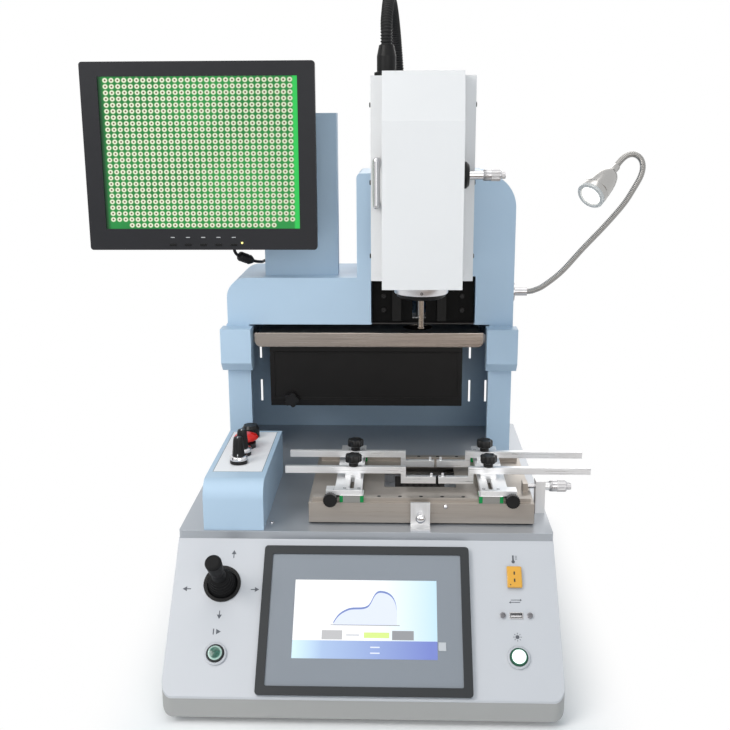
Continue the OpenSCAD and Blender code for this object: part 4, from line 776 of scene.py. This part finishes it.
def two_tone(name, light, dark, *boxes, dark_rough=0.42):
    """Satin metal with parts within boxes of dark plastic, or of a colour given with the box."""
    made = Finish(name)
    smear = made.noise(50, 3)
    black = 0.0
    shade = dark
    for low, high, *own in boxes:
        within = made.inside(low, high)
        black = made.math("MAXIMUM", black, within)
        if own:
            shade = made.mix(within, shade, own[0])
    bright = made.varied(smear, light, 0.9, 1.02)
    made.set(Base_Color=made.mix(black, bright, shade), Metallic=made.rest(black),
             Roughness=made.spread(black, 0, 1, 0.26, dark_rough), Specular_IOR_Level=0.2)
    made.relief(made.noise(900, 2), 0.01, 0.4)
    return made.material


def jewel(name, node, core, rim, radius, strength):
    """Button lens: clear rim round a deeper core, lit from behind."""
    made = Finish(name)
    out = made.spread(made.from_axis(middle(node), PANEL_OUT), radius * MM * 0.7, radius * MM)
    cut = made.noise(420, 2)
    deep = made.mix(made.spread(cut, 0.4, 0.6), core, toned(core, 0.6))
    tone = made.mix(out, deep, rim)
    made.set(Base_Color=tone, Roughness=0.12, Emission_Color=tone, Emission_Strength=strength)
    made.relief(cut, 0.15, 0.3)
    return made.material


FINISHES = {
    "base_shell": shell_paint,
    "front_panel": panel_paint,
    "deck_plate": deck_sheet,
    "rubber_feet": feet_rubber,
    "electronics": satin_steel,
    "touch_panel_frame": touch_frame_finish(),
    "touch_panel_screen": panel_picture(),
    "joystick_housing": black_plastic,
    "joystick_yoke": satin_steel,
    "joystick_stick": plastic("stick_rubber", srgb(20, 20, 21), 0.5, 0.03, 800, 0.12),
    "panel_fittings": two_tone("panel_fittings", srgb(190, 190, 192), srgb(22, 22, 23), (
        (base_low.x, base_high.y - INLET_DEEP, base_low.z), base_high + Vector((9, 9, 9))), *(
        (middle(node) - BUTTON_REACH, middle(node) + BUTTON_REACH, PANEL)
        for node in ("start_button", "headlamp_button"))),
    "start_button": dark_ring,
    "headlamp_button": plastic("headlamp_cap", srgb(24, 84, 62), 0.3, 0.01, shine=0.4),
    "control_pod": paint("pod_paint", BLUE, zones=[
        # Dark band round the plate is painted shade of its recess; then the plate itself, then the black
        # collar
        (plate_low - POD_SHADE_LINE, plate_high + POD_SHADE_LINE, srgb(112, 120, 130), 0.5),
        (plate_low, plate_high, srgb(240, 239, 241), 0.5), (*pod_collar, srgb(20, 20, 21), 0.4)]),
    "emergency_stop": red_plastic,
    "pod_knob": knob_black,
    "rear_portal": blue_paint,
    "drawer_runners": satin_steel,
    "runner_middles": satin_steel,
    "drawer_tray": strip_steel,
    "optics_box": black_metal,
    "drawer_knob": knob_black,
    "upper_casing": paint("casing_paint", BLUE, zones=[
        ((slide_low.x, casing_low.y - 1, casing_low.z - 1), (slide_high.x, slide_high.y, casing_low.z + 12),
         srgb(18, 17, 17), 0.42)]),
    "casing_fittings": two_tone("casing_fittings", toned(CHROME, 0.72), srgb(26, 26, 27), (
        casing_low, (casing_high.x - 0.1, casing_high.y, casing_high.z + 40))),
    "slide_plate": plastic("slide_black", srgb(9, 9, 9), 0.5, 0.02, 2200, 0.08),
    "lift_drive": two_tone("lift_drive", srgb(176, 176, 178), srgb(11, 11, 11), (
        (drive_low.x, drive_low.y, drive_high.z - 4.2), (drive_high.x, drive_high.y, drive_high.z + 1)), (
        drive_low - Vector((1, 1, 1)), (drive_high.x, slide_low.y + 0.1, drive_high.z))),
    "lift_screw": satin_steel,
    "motor_pulley": satin_steel,
    "head_box": white_paint,
    "head_cover": white_paint,
    "head_fittings": head_fittings_finish(),
    "head_thimble": thimble_finish("head_thimble"),
    "monitor_post": paint("post_paint", BLUE, zones=[
        ((-400, 0, 400), (0, post_face, 700), srgb(30, 30, 31), 0.42)]),
    "monitor_bezel": monitor_black,
    "monitor_back": monitor_black,
    "monitor_screen": board_picture(),
    "stage_box": steel_x,
    "stage_base": alloy_z,
    "lower_heater": heater_black,
    "left_carriage": steel_y,
    "right_carriage": steel_y,
    "stage_thimble": thimble_finish("stage_thimble"),
    "stage_lock_screw": chrome,
}
CORNERS = ("front_left", "front_right", "rear_left", "rear_right")
for corner in CORNERS:
    FINISHES["arm_" + corner] = alloy
for hand in ("left", "right"):
    FINISHES["lock_knob_" + hand] = knob_black
for name, material in FINISHES.items():
    for slot in nodes[name].material_slots:
        slot.material = material

# Gooseneck lamp: ribbed neck, lathe-turned head and lens

LAMP_AT = Vector((188.5, 149, 387))
NECK_D = 8.0
NECK_RIB = 2.2
NECK_POINTS = [(3.3, 0, 0), (20, 0, 0), (25, 0, 0.3), (31, 0, 2), (43, 0, 8), (66, 0, 27), (92, 0, 57),
               (121, 0, 89), (143, 0, 116), (155, 0, 136), (163, 0, 152), (165, 0, 165), (161, 0, 175),
               (152, -1, 180), (142, -4, 178), (133, -10, 171), (126, -17, 163)]
LAMP_AIM = Vector((-0.60, -0.60, -0.53))
LAMP_LEN = 62.0


def neck_radius(along):
    return NECK_D / 2 - 0.22 + 0.22 * math.cos(2 * math.pi * along / NECK_RIB)


neck_path = evenly(through([LAMP_AT + Vector(point) for point in NECK_POINTS], 12), NECK_RIB / 6)
lamp_alloy = polished("lamp_alloy", srgb(176, 175, 173), 0.2)
neck_alloy = polished("neck_alloy", srgb(152, 151, 149), 0.16)
neck = placed("lamp_neck", swept(neck_path, neck_radius, 20), HERE, neck_alloy, "lamp",
              60)
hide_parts("gooseneck_lamp")
lamp_place = facing(LAMP_AT + Vector(NECK_POINTS[-1]), LAMP_AIM)
LAMP_RINGS = [(4.6, -4), (5.0, -3), (5.0, 7), (6.4, 8.2), (9.4, 11), (12.0, 15), (13.8, 20), (15.2, 26),
              (16.3, 33), (17.2, 41), (17.7, 49), (17.0, 49.6), (17.0, 50.6), (18, 51.2), (18, 60.6),
              (17.4, LAMP_LEN), (13.8, LAMP_LEN), (13.4, LAMP_LEN - 1.4), (13.0, LAMP_LEN - 2.5)]
placed("lamp_head", turned(LAMP_RINGS, 48), lamp_place, lamp_alloy, "lamp")
placed("lamp_rim", hollow([(13.3, LAMP_LEN - 1.2), (13.9, LAMP_LEN + 0.3), (17.2, LAMP_LEN + 0.3),
                           (18.2, LAMP_LEN - 0.8), (18.2, LAMP_LEN - 3.4)], 48), lamp_place,
       plastic("lamp_rim", srgb(205, 205, 203), 0.3, 0.01, shine=0.4), "lamp")
placed("lamp_lens", turned([(12.9, LAMP_LEN - 2.4), (12.9, LAMP_LEN - 1.6), (10, LAMP_LEN - 0.9),
                            (5, LAMP_LEN - 0.5)], 40), lamp_place,
       glowing("lamp_lens", srgb(255, 255, 252), 1.0), "lamp")


# Control panel: button lenses, signs, socket faces and screws

start = middle("start_button")
headlamp = middle("headlamp_button")
stick = middle("joystick_housing")
BUTTON_DOWN, STICK_DOWN, THERMO_DOWN, SOCKET_DOWN = 130, 53, 43, 85
START_SIGN, LIGHT_SIGN, HEAT_SIGN, DATA_SIGN = 106, 108, 22, 69
LENS_R = 7.5
MARK_T = 0.12
MARK_LIFT = 0.02


def proud(node):
    """Height of a node above the sloping panel."""
    return max((vert.co / MM - PANEL_TOP).dot(PANEL_OUT) for vert in nodes[node].data.vertices)


for node, spot, core, rim, strength in (
        ("start_button", start, srgb(44, 100, 84), srgb(196, 226, 214), 0.06),
        ("headlamp_button", headlamp, srgb(252, 255, 253), srgb(226, 250, 238), 0.85)):
    lens = turned([(LENS_R, -0.3), (LENS_R, 0.3), (LENS_R - 0.7, 1.0), (LENS_R - 2.6, 1.5), (1.2, 1.7)], 24)
    placed(node + "_lens", lens, on_panel(spot.x, BUTTON_DOWN, proud(node)),
           jewel(node + "_lens", node, core, rim, LENS_R, strength), node,
           20)

signs = bmesh.new()


def triangle(size, turn):
    """Three corners round the origin, the first at an angle."""
    angles = [turn + k * math.tau / 3 for k in range(3)]
    return [(size * math.cos(angle), size * math.sin(angle)) for angle in angles]


def bar(x0, y0, x1, y1):
    """Four corners of a rectangle."""
    return [(x0, y0), (x1, y0), (x1, y1), (x0, y1)]


def spun(outline, turn):
    """Outline turned about its origin."""
    c, s = math.cos(turn), math.sin(turn)
    return [(x * c - y * s, x * s + y * c) for x, y in outline]


def sign(across, down, *outlines):
    """Outlines printed at a place on the panel."""
    for outline in outlines:
        sheet(signs, outline, MARK_T, on_panel(across, down, MARK_LIFT))


def dot(across, down, radius):
    """Round spot printed at a place on the panel."""
    turned([(radius, 0), (radius, MARK_T)], 24, signs, on_panel(across, down, MARK_LIFT))


for across, down, turn in ((-40, 6, math.pi), (38, 6, 0), (10, -36, math.pi / 2), (0, 36, -math.pi / 2)):
    sign(stick.x + across, STICK_DOWN + down, triangle(3.2, turn), spun(bar(-6.0, -0.5, -1.6, 0.5), turn))
sign(start.x, START_SIGN, triangle(3.4, 0), bar(-5.2, -3.2, -4.0, 3.2))
sign(headlamp.x, LIGHT_SIGN, *(spun(bar(3.0, -0.3, 4.6, 0.3), k * math.pi / 4) for k in range(8)))
dot(headlamp.x, LIGHT_SIGN, 2.1)
sign(headlamp.x, HEAT_SIGN, bar(-0.9, -2, 0.9, 5),
     *(bar(2.2, 0.4 + 1.7 * k, 4.4, 0.9 + 1.7 * k) for k in range(3)))
dot(headlamp.x, HEAT_SIGN + 2.4, 1.9)
for side in (-1, 1):
    sign(headlamp.x, DATA_SIGN, bar(-5, side * 1.3 - 0.35, 5, side * 1.3 + 0.35),
         [(side * x, side * y) for x, y in ((5, 2.6), (7, 1.3), (5, 0))])
placed("panel_signs", signs, HERE, plastic("sign_ink", srgb(96, 98, 104), 0.5, 0.005), "base")

thermo = bmesh.new()
block(thermo, (-8.1, -12.1, 2.6), (8.1, 12.1, 4.5), 0.7)
placed("thermocouple_face", thermo, on_panel(headlamp.x, THERMO_DOWN), amber_plastic, "base")
# Dark blocks on the socket face: painted shade in its two flat slots and its small round hole
slot_shade_blocks = bmesh.new()
for y in (-4, 4):
    block(slot_shade_blocks, (-0.8, y - 1.9, 4.35), (0.8, y + 1.9, 4.6), 0.1)
turned([(0.7, 4.35), (0.7, 4.62)], 16, slot_shade_blocks, Matrix.Translation((-4.6, -9, 0)))
placed("thermocouple_slot_shade", slot_shade_blocks, on_panel(headlamp.x, THERMO_DOWN), dark_ring, "base")
socket_place = on_panel(headlamp.x, SOCKET_DOWN)
screws("data_socket_screws", [socket_place @ Matrix.Translation((x, 0, 1.7)) for x in (-14.5, 14.5)],
       3.1, 1.1, dark_nickel, "base")

# Touch panel: pull tab at a corner of its film

TAB_ACROSS, TAB_DOWN, TAB_OUT = 82, 120.5, 4.55
tab = bmesh.new()
block(tab, (-4, -4.5, 0), (4, 4.5, 0.25), 0.1)
placed("film_tab", tab, on_panel(middle("touch_panel_frame").x + TAB_ACROSS, TAB_DOWN, TAB_OUT),
       plastic("film", srgb(196, 198, 202), 0.35, 0.01), "base")

# Monitor: keys, their marks and the power light

bezel_low, bezel_high = corners("monitor_bezel")
bezel_mid = (bezel_low.x + bezel_high.x) / 2
KEY_PITCH = 19.75
LIGHT_ACROSS, LIGHT_UP = 50.2, 9
keys = bmesh.new()
marks = bmesh.new()
for k in range(-2, 3):
    spot = Vector((bezel_mid + k * KEY_PITCH, bezel_low.y, bezel_low.z))
    block(keys, spot + Vector((-4.4, -0.7, 5)), spot + Vector((4.4, 0.4, 8)), 0.4)
    block(marks, spot + Vector((-2.6, -0.08, 15.6)), spot + Vector((2.6, 0.1, 16.6)), 0.03)
placed("monitor_keys", keys, HERE, black_plastic, "monitor")
placed("monitor_key_marks", marks, HERE, plastic("key_ink", srgb(190, 190, 192), 0.5, 0.005),
       "monitor")
placed("monitor_light", turned([(1.3, 0), (1.3, 0.5), (0.8, 0.9)], 20),
       facing((bezel_mid + LIGHT_ACROSS, bezel_low.y, bezel_low.z + LIGHT_UP), FRONT),
       glowing("power_light", srgb(250, 240, 140), 1.2), "monitor")

# Screws: slide plate, head's sides, collar, deck and board holder

PLATE_SCREW_IN = 15.7
PLATE_SCREW_ROWS = (364, 383)
SIDE_SCREW_IN = 12
SIDE_SCREW_ROWS = (455, 541, 629)
screws("slide_plate_screws",
       [facing((x, slide_low.y, z), FRONT) for z in PLATE_SCREW_ROWS
        for x in (slide_low.x + PLATE_SCREW_IN, slide_high.x - PLATE_SCREW_IN)],
       3.4, 2.4, knob_black, "base")
screws("head_side_screws",
       [facing((x, y, z), (out, 0, 0)) for x, out in ((head_low.x, -1), (head_high.x, 1))
        for y in (head_low.y + SIDE_SCREW_IN, head_high.y - SIDE_SCREW_IN) for z in SIDE_SCREW_ROWS],
       2.8, 1.7, knob_black, "head")
nozzle_mid = middle("nozzle")
screws("collar_screw", [facing((nozzle_mid.x, nozzle_mid.y - 30.9, COLLAR_Z + 4), FRONT)],
       1.6, 0.5, knob_black, "head")
DECK_SCREW = (-108, -122, deck_high.z)
screws("deck_screw", [Matrix.Translation(DECK_SCREW)], 2.6, 1.4, chrome, "base")
stage_low, stage_high = corners("stage_box")
STAGE_SCREW = (90.6, stage_low.y, 186.5)
placed("stage_front_screw", turned([(2.6, 0), (2.6, 1.6), (1.8, 2.8), (0.6, 3.3)], 24),
       facing(STAGE_SCREW, FRONT), chrome, "stage")

# Dimmer knobs: black foot, bright ring, fluted grip and pointer

FLUTES = 12


def fluted(radius):
    """Radius at an angle of a grip with shallow flutes."""
    return lambda angle: radius - 0.45 * max(0.0, math.cos(FLUTES * angle)) ** 2


for node in ("dimmer_knob_front", "dimmer_knob_rear"):
    spot = middle(node)
    spot.z = pod_top + KNOB_GAP
    place = Matrix.Translation(spot)
    grip = turned([(10.0, 0), (10.4, 0.5), (10.4, 3.4), (10.0, 3.8), (7.6, 4.0), (7.6, 9.2),
                   (fluted(7.4), 9.6), (fluted(7.2), 12), (fluted(5.9), 27), (fluted(5.5), 29.4), (5.0, 31),
                   (4.0, 31.8)], 6 * FLUTES)
    knob = placed(node + "_grip", grip, place, knob_black, node, 25)
    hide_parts(node)
    placed(node + "_ring", hollow([(7.3, 3.9), (10.1, 3.9), (10.7, 4.6), (10.7, 7.6), (10.0, 8.9), (8.6, 9.4),
                                   (7.3, 9.4)]), place, chrome, node)
    pointer = bmesh.new()
    block(pointer, (-0.5, -7.55, 10.2), (0.5, -5.2, 12.4), 0.1)
    block(pointer, (-0.5, -4.6, 31.6), (0.5, 0, 32), 0.1)
    placed(node + "_pointer", pointer, place, white_paint, node)

# Board arms' clamp knobs: hub, lobed head and sunk cap

LOBES = 7
CLAMP_HEAD = 13


def lobed(radius):
    """Radius at an angle of a head with round lobes."""
    return lambda angle: radius * (0.93 + 0.07 * math.cos(LOBES * angle))


for corner in CORNERS:
    node = "clamp_" + corner
    low, high = corners(node)
    spot = middle(node)
    spot.z = high.z - CLAMP_HEAD
    head = turned([(2.0, low.z - spot.z), (2.0, 0.0), (5.4, 0.0), (5.6, 0.6), (5.4, 5.2), (lobed(8.8), 5.4),
                   (lobed(10.0), 6.4), (lobed(10.0), 12.6), (lobed(9.2), 14.0), (6.4, 14.6), (6.0, 14.6),
                   (5.8, 14.0)], 12 * LOBES)
    knob = placed(node + "_knob", head, Matrix.Translation(spot), knob_black, node)
    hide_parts(node)

# Head: lower edge of its box, collar ring and suction tube

SKIRT_T = 1.4
SKIRT_LAP = 0.2
skirt = bmesh.new()
skirt_loops = []
skirt_low, skirt_high = cover_low.z - 0.3, head_low.z + SKIRT_LAP
for inset, z in ((0, skirt_low), (0, skirt_high), (SKIRT_T, skirt_high), (SKIRT_T, skirt_low)):
    edge = bar(head_low.x + inset, head_low.y + SKIRT_LAP + inset, head_high.x - inset, head_high.y - inset)
    skirt_loops.append([skirt.verts.new((x, y, z)) for x, y in edge])
skin(skirt, skirt_loops + skirt_loops[:1])
placed("head_skirt", skirt, HERE, white_paint, "head")
COLLAR_R, COLLAR_H, COLLAR_BORE = 31.2, 11, 4.4
collar = hollow([(COLLAR_BORE, 0), (29, 0), (30.6, 0.4), (COLLAR_R, 1.4), (COLLAR_R, COLLAR_H),
                 (COLLAR_BORE, COLLAR_H)], 72)
placed("collar_ring", collar, Matrix.Translation((nozzle_mid.x, nozzle_mid.y, COLLAR_Z)),
       brushed("collar_steel", CHROME, 0.3, (14, 14, 1900)), "head")
nozzle_low, nozzle_high = corners("nozzle")
TUBE_R, BORE_R = 3.1, 1.6
tube_rings = [(BORE_R, 0), (TUBE_R + 0.3, 0), (TUBE_R + 0.7, 0.4), (TUBE_R + 0.7, 1.5), (TUBE_R, 2.1)]
for k in range(9):
    tube_rings += [(TUBE_R, 2.6 + 1.5 * k), (TUBE_R - 0.25, 2.9 + 1.5 * k), (TUBE_R - 0.25, 3.3 + 1.5 * k),
                   (TUBE_R, 3.6 + 1.5 * k)]
tube_long = nozzle_high.z - nozzle_low.z
tube = placed("suction_tube", hollow(tube_rings + [(TUBE_R, tube_long), (BORE_R, tube_long)]),
              Matrix.Translation((nozzle_mid.x, nozzle_mid.y, nozzle_low.z)), nozzle_steel, "nozzle")
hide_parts("nozzle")

# Optics box: folded lip below its front and two ridges across it

optics_low, optics_high = corners("optics_box")
knob_low, knob_high = corners("drawer_knob")
LIP_DOWN = 5.4
RIDGE_T = 1.2
RIDGE_HIGH, RIDGE_LOW = 68, 2.6
ridge_left, ridge_right = optics_low.x + 0.5, optics_high.x - 0.5
trim = bmesh.new()
block(trim, (optics_low.x, optics_low.y, optics_low.z - LIP_DOWN),
      (optics_high.x, optics_low.y + 1.6, optics_low.z + 0.5), 0.4)
for x0, x1, up in ((ridge_left, ridge_right, RIDGE_HIGH), (ridge_left, knob_low.x - 2, RIDGE_LOW),
                   (knob_high.x + 2, ridge_right, RIDGE_LOW)):
    block(trim, (x0, optics_low.y - 0.7, optics_low.z + up),
          (x1, optics_low.y + 0.4, optics_low.z + up + RIDGE_T), 0.25)
placed("optics_trim", trim, HERE, black_metal, "drawer")

# Board holder's lock screw: domed cap over its head

lock_spot = middle("stage_lock_screw")
lock_spot.y = corners("stage_lock_screw")[0].y
lock_cap = turned([(5.2, -2.6), (5.4, -2.2), (5.4, 0.2), (4.8, 1.5), (3.4, 2.4), (1.4, 2.8)], 40)
placed("lock_screw_cap", lock_cap, facing(lock_spot, FRONT), chrome, "stage_lock_screw", 50)

# Cross rails of the board holder: flat black discs along their tops, painted shade of screw holes

RAIL_ROWS = (stage_low.y + 8, stage_high.y - 14)
RAIL_TOP = PLATE_Z - 4
HOLE_PITCH = 24
rail_hole_shade = bmesh.new()
for rail_y in RAIL_ROWS:
    for k in range(-4, 5):
        turned([(2.2, -0.4), (2.2, 0.06), (1.6, 0.06)], 20, rail_hole_shade,
               Matrix.Translation((nozzle_mid.x + HOLE_PITCH * k, rail_y, RAIL_TOP)))
placed("rail_hole_shade", rail_hole_shade, HERE, black_plastic, "stage")

# Base and casing: screws of their covers

SIDE_Z = 24
SIDE_YS = (-190, -20, 150)
REAR_XS = (-192, 0, 192)
REAR_ZS = (26, 140)
CASING_SPOTS = ((-182, 356), (-182, 396), (0, 356), (0, 530), (176, 356), (176, 530))
cover_places = [facing((x, y, SIDE_Z), (out, 0, 0)) for y in SIDE_YS
                for x, out in ((base_low.x, -1), (base_high.x, 1))]
cover_places += [facing((x, base_high.y, z), BACK) for x in REAR_XS for z in REAR_ZS]
cover_places += [facing((x, casing_high.y, z), BACK) for x, z in CASING_SPOTS]
screws("cover_screws", cover_places, 2.8, 1.5, satin_steel, "base")

# Micrometers: knurled grips and division lines of their sleeves

KNURL_TEETH = 44
RATCHET_TEETH = 28


def knurl(angle):
    """Radius of the grip, with a tooth at each turn of the wave."""
    return 6.62 + 0.16 * math.cos(KNURL_TEETH * angle)


def ratchet(angle):
    """Radius of the small grip at the end."""
    return 4.1 + 0.12 * math.cos(RATCHET_TEETH * angle)


for node in ("head_thimble", "stage_thimble"):
    grip = hollow([(5.9, 8.6), (6.2, 8.6), (knurl, 9.0), (knurl, 18.2), (6.2, 18.6), (5.9, 18.6)],
                  4 * KNURL_TEETH)
    turned([(3.6, THIMBLE_LEN + 0.6), (ratchet, THIMBLE_LEN + 0.9), (ratchet, THIMBLE_LEN + 3.8),
            (3.6, THIMBLE_LEN + 4.1)], 4 * RATCHET_TEETH, grip)
    placed(node + "_grip", grip, facing(thimble_start(node), (1, 0, 0)), satin_steel, node)
for node, body, runs in (("head_thimble", "head", 14), ("stage_thimble", "stage", 4)):
    ticks = bmesh.new()
    block(ticks, (-runs, -0.1, 4.9), (-0.6, 0.1, 5.04), 0.02)
    for k in range(runs):
        tall = 2.2 if k % 5 == 0 else 1.4
        block(ticks, (-0.9 - k, -tall, 4.4), (-0.7 - k, 0, 5.03), 0.02)
    placed(node + "_scale", ticks, Matrix.Translation(thimble_start(node)), black_plastic, body)

# Carriages: green seals at the ends of the rail blocks and screws in the plates

BLOCK_HALF = 13.5
SLOT_OFF = 79
SEAL_IN, SEAL_OUT = 5, 9.15
SCREW_OFF = 8.2
FLUSH_KEY = hexagon(1.8)
FLUSH_SCREW = [(1.9, -0.6), (1.9, 0.02), (1.8, 0.05), (FLUSH_KEY, 0.05), (FLUSH_KEY, -0.4)]
for hand, way in (("left", -1), ("right", 1)):
    low, high = corners(hand + "_carriage")
    slot_x = nozzle_mid.x + way * SLOT_OFF
    seals = bmesh.new()
    heads = bmesh.new()
    for side in (-1, 1):
        x0, x1 = sorted(slot_x + side * (BLOCK_HALF + reach) for reach in (-4.0, 0.2))
        for rail_y in RAIL_ROWS:
            for y0, y1 in ((rail_y - SEAL_OUT, rail_y - SEAL_IN), (rail_y + SEAL_IN, rail_y + SEAL_OUT)):
                block(seals, (x0, y0, low.z + 0.2), (x1, y1, low.z + 8.4), 0.2)
        for y in (low.y + 8, high.y - 16):
            turned(FLUSH_SCREW, 24, heads, Matrix.Translation((slot_x + side * SCREW_OFF, y, high.z)))
    placed("seals_" + hand, seals, HERE, plastic("seal_" + hand, SEAL_GREEN, 0.35, 0.01),
           hand + "_carriage")
    placed("plate_screws_" + hand, heads, HERE, dark_nickel, hand + "_carriage")


# Floor, light and background

FLOOR_HALF = 30
FLOOR_FADE = (-0.02, 0.09)
FLOOR_COLOUR = (0.93, 0.93, 0.93, 1)
AMBIENT = (0.26, 0.33, 0.39, 1)
WHITE_LIGHT = (1, 1, 1, 1)
LAMP_COLOUR = (1.0, 0.975, 0.94)
WORK = Vector((0.0, 0.0, 0.35))


def lit_floor():
    """Pale floor that keeps the shadow round the base and fades to white."""
    material = empty_material("floor")
    made = Nodes(material.node_tree)
    away = made.vector("ABSOLUTE", made.node("ShaderNodeTexCoord").outputs["Object"])
    away = made.vector("MAXIMUM", made.vector("SUBTRACT", away, base_high * MM))
    away = made.vector("LENGTH", made.vector("MULTIPLY", away, (1, 1, 0)))
    fade = made.spread(away, *FLOOR_FADE, kind="SMOOTHSTEP")
    soft = made.node("ShaderNodeBsdfDiffuse")
    soft.inputs["Color"].default_value = FLOOR_COLOUR
    blend = made.node("ShaderNodeMixShader")
    made.feed(blend.inputs[0], made.times(fade, made.seen_rays()))
    made.feed(blend.inputs[1], soft.outputs[0])
    made.feed(blend.inputs[2], made.node("ShaderNodeEmission").outputs[0])
    made.show(blend.outputs[0])
    return material


def staged(name, mesh, material):
    """Piece of the studio, which is no part of the station."""
    made = meshed(name, mesh, material)
    return made


floor_mesh = bmesh.new()
bmesh.ops.create_grid(floor_mesh, x_segments=2, y_segments=2, size=FLOOR_HALF)
staged("floor", floor_mesh, lit_floor())

world = bpy.data.worlds.new("studio")
world.use_nodes = True
bpy.context.scene.world = world
sky = Nodes(world.node_tree)
backdrop = world.node_tree.nodes["Background"]
sky.feed(backdrop.inputs["Color"], sky.mix(sky.seen_rays(), AMBIENT, WHITE_LIGHT))


def card(name, outline, shade_left, shade_right):
    """Card that only shows in reflections, as studios use to give metal its contrast."""
    made = Finish(name)
    share = made.spread(made.axes()[0], -0.45, 0.4)
    made.set(Base_Color=(0, 0, 0, 1), Roughness=1.0, Specular_IOR_Level=0.0, Emission_Strength=1.0,
             Emission_Color=made.mix(share, shade_left, shade_right))
    mesh = bmesh.new()
    mesh.faces.new([mesh.verts.new(point) for point in outline])
    shown = staged(name, mesh, made.material)
    for rays in ("camera", "diffuse", "shadow", "transmission"):
        setattr(shown, "visible_" + rays, False)


DARK = (0.12, 0.12, 0.12, 1)
card("floor_card", [(-1.6, -2.8, 0.01), (1.6, -2.8, 0.01), (1.6, -0.5, 0.01), (-1.6, -0.5, 0.01)],
     (0.6, 0.6, 0.6, 1), (0.24, 0.17, 0.13, 1))
card("side_card", [(-1.5, -0.8, 0), (-1.5, -0.3, 0), (-1.5, -0.3, 1.8), (-1.5, -0.8, 1.8)], DARK, DARK)


def lamp(name, spot, size, power):
    """Soft square light that looks at the work."""
    data = bpy.data.lights.new(name, "AREA")
    data.energy = power
    data.size = size
    data.color = LAMP_COLOUR
    linked(name, data).matrix_world = facing(Vector(spot), Vector(spot) - WORK)


lamp("key", (-1.15, -1.15, 1.4), 1.0, 20)
lamp("fill", (0.6, -2.2, 0.7), 1.4, 11)
lamp("top", (0.0, -0.3, 2.4), 1.6, 15)
lamp("rear", (0.4, 1.9, 1.5), 1.4, 12)

bpy.context.scene.view_settings.view_transform = "Standard"
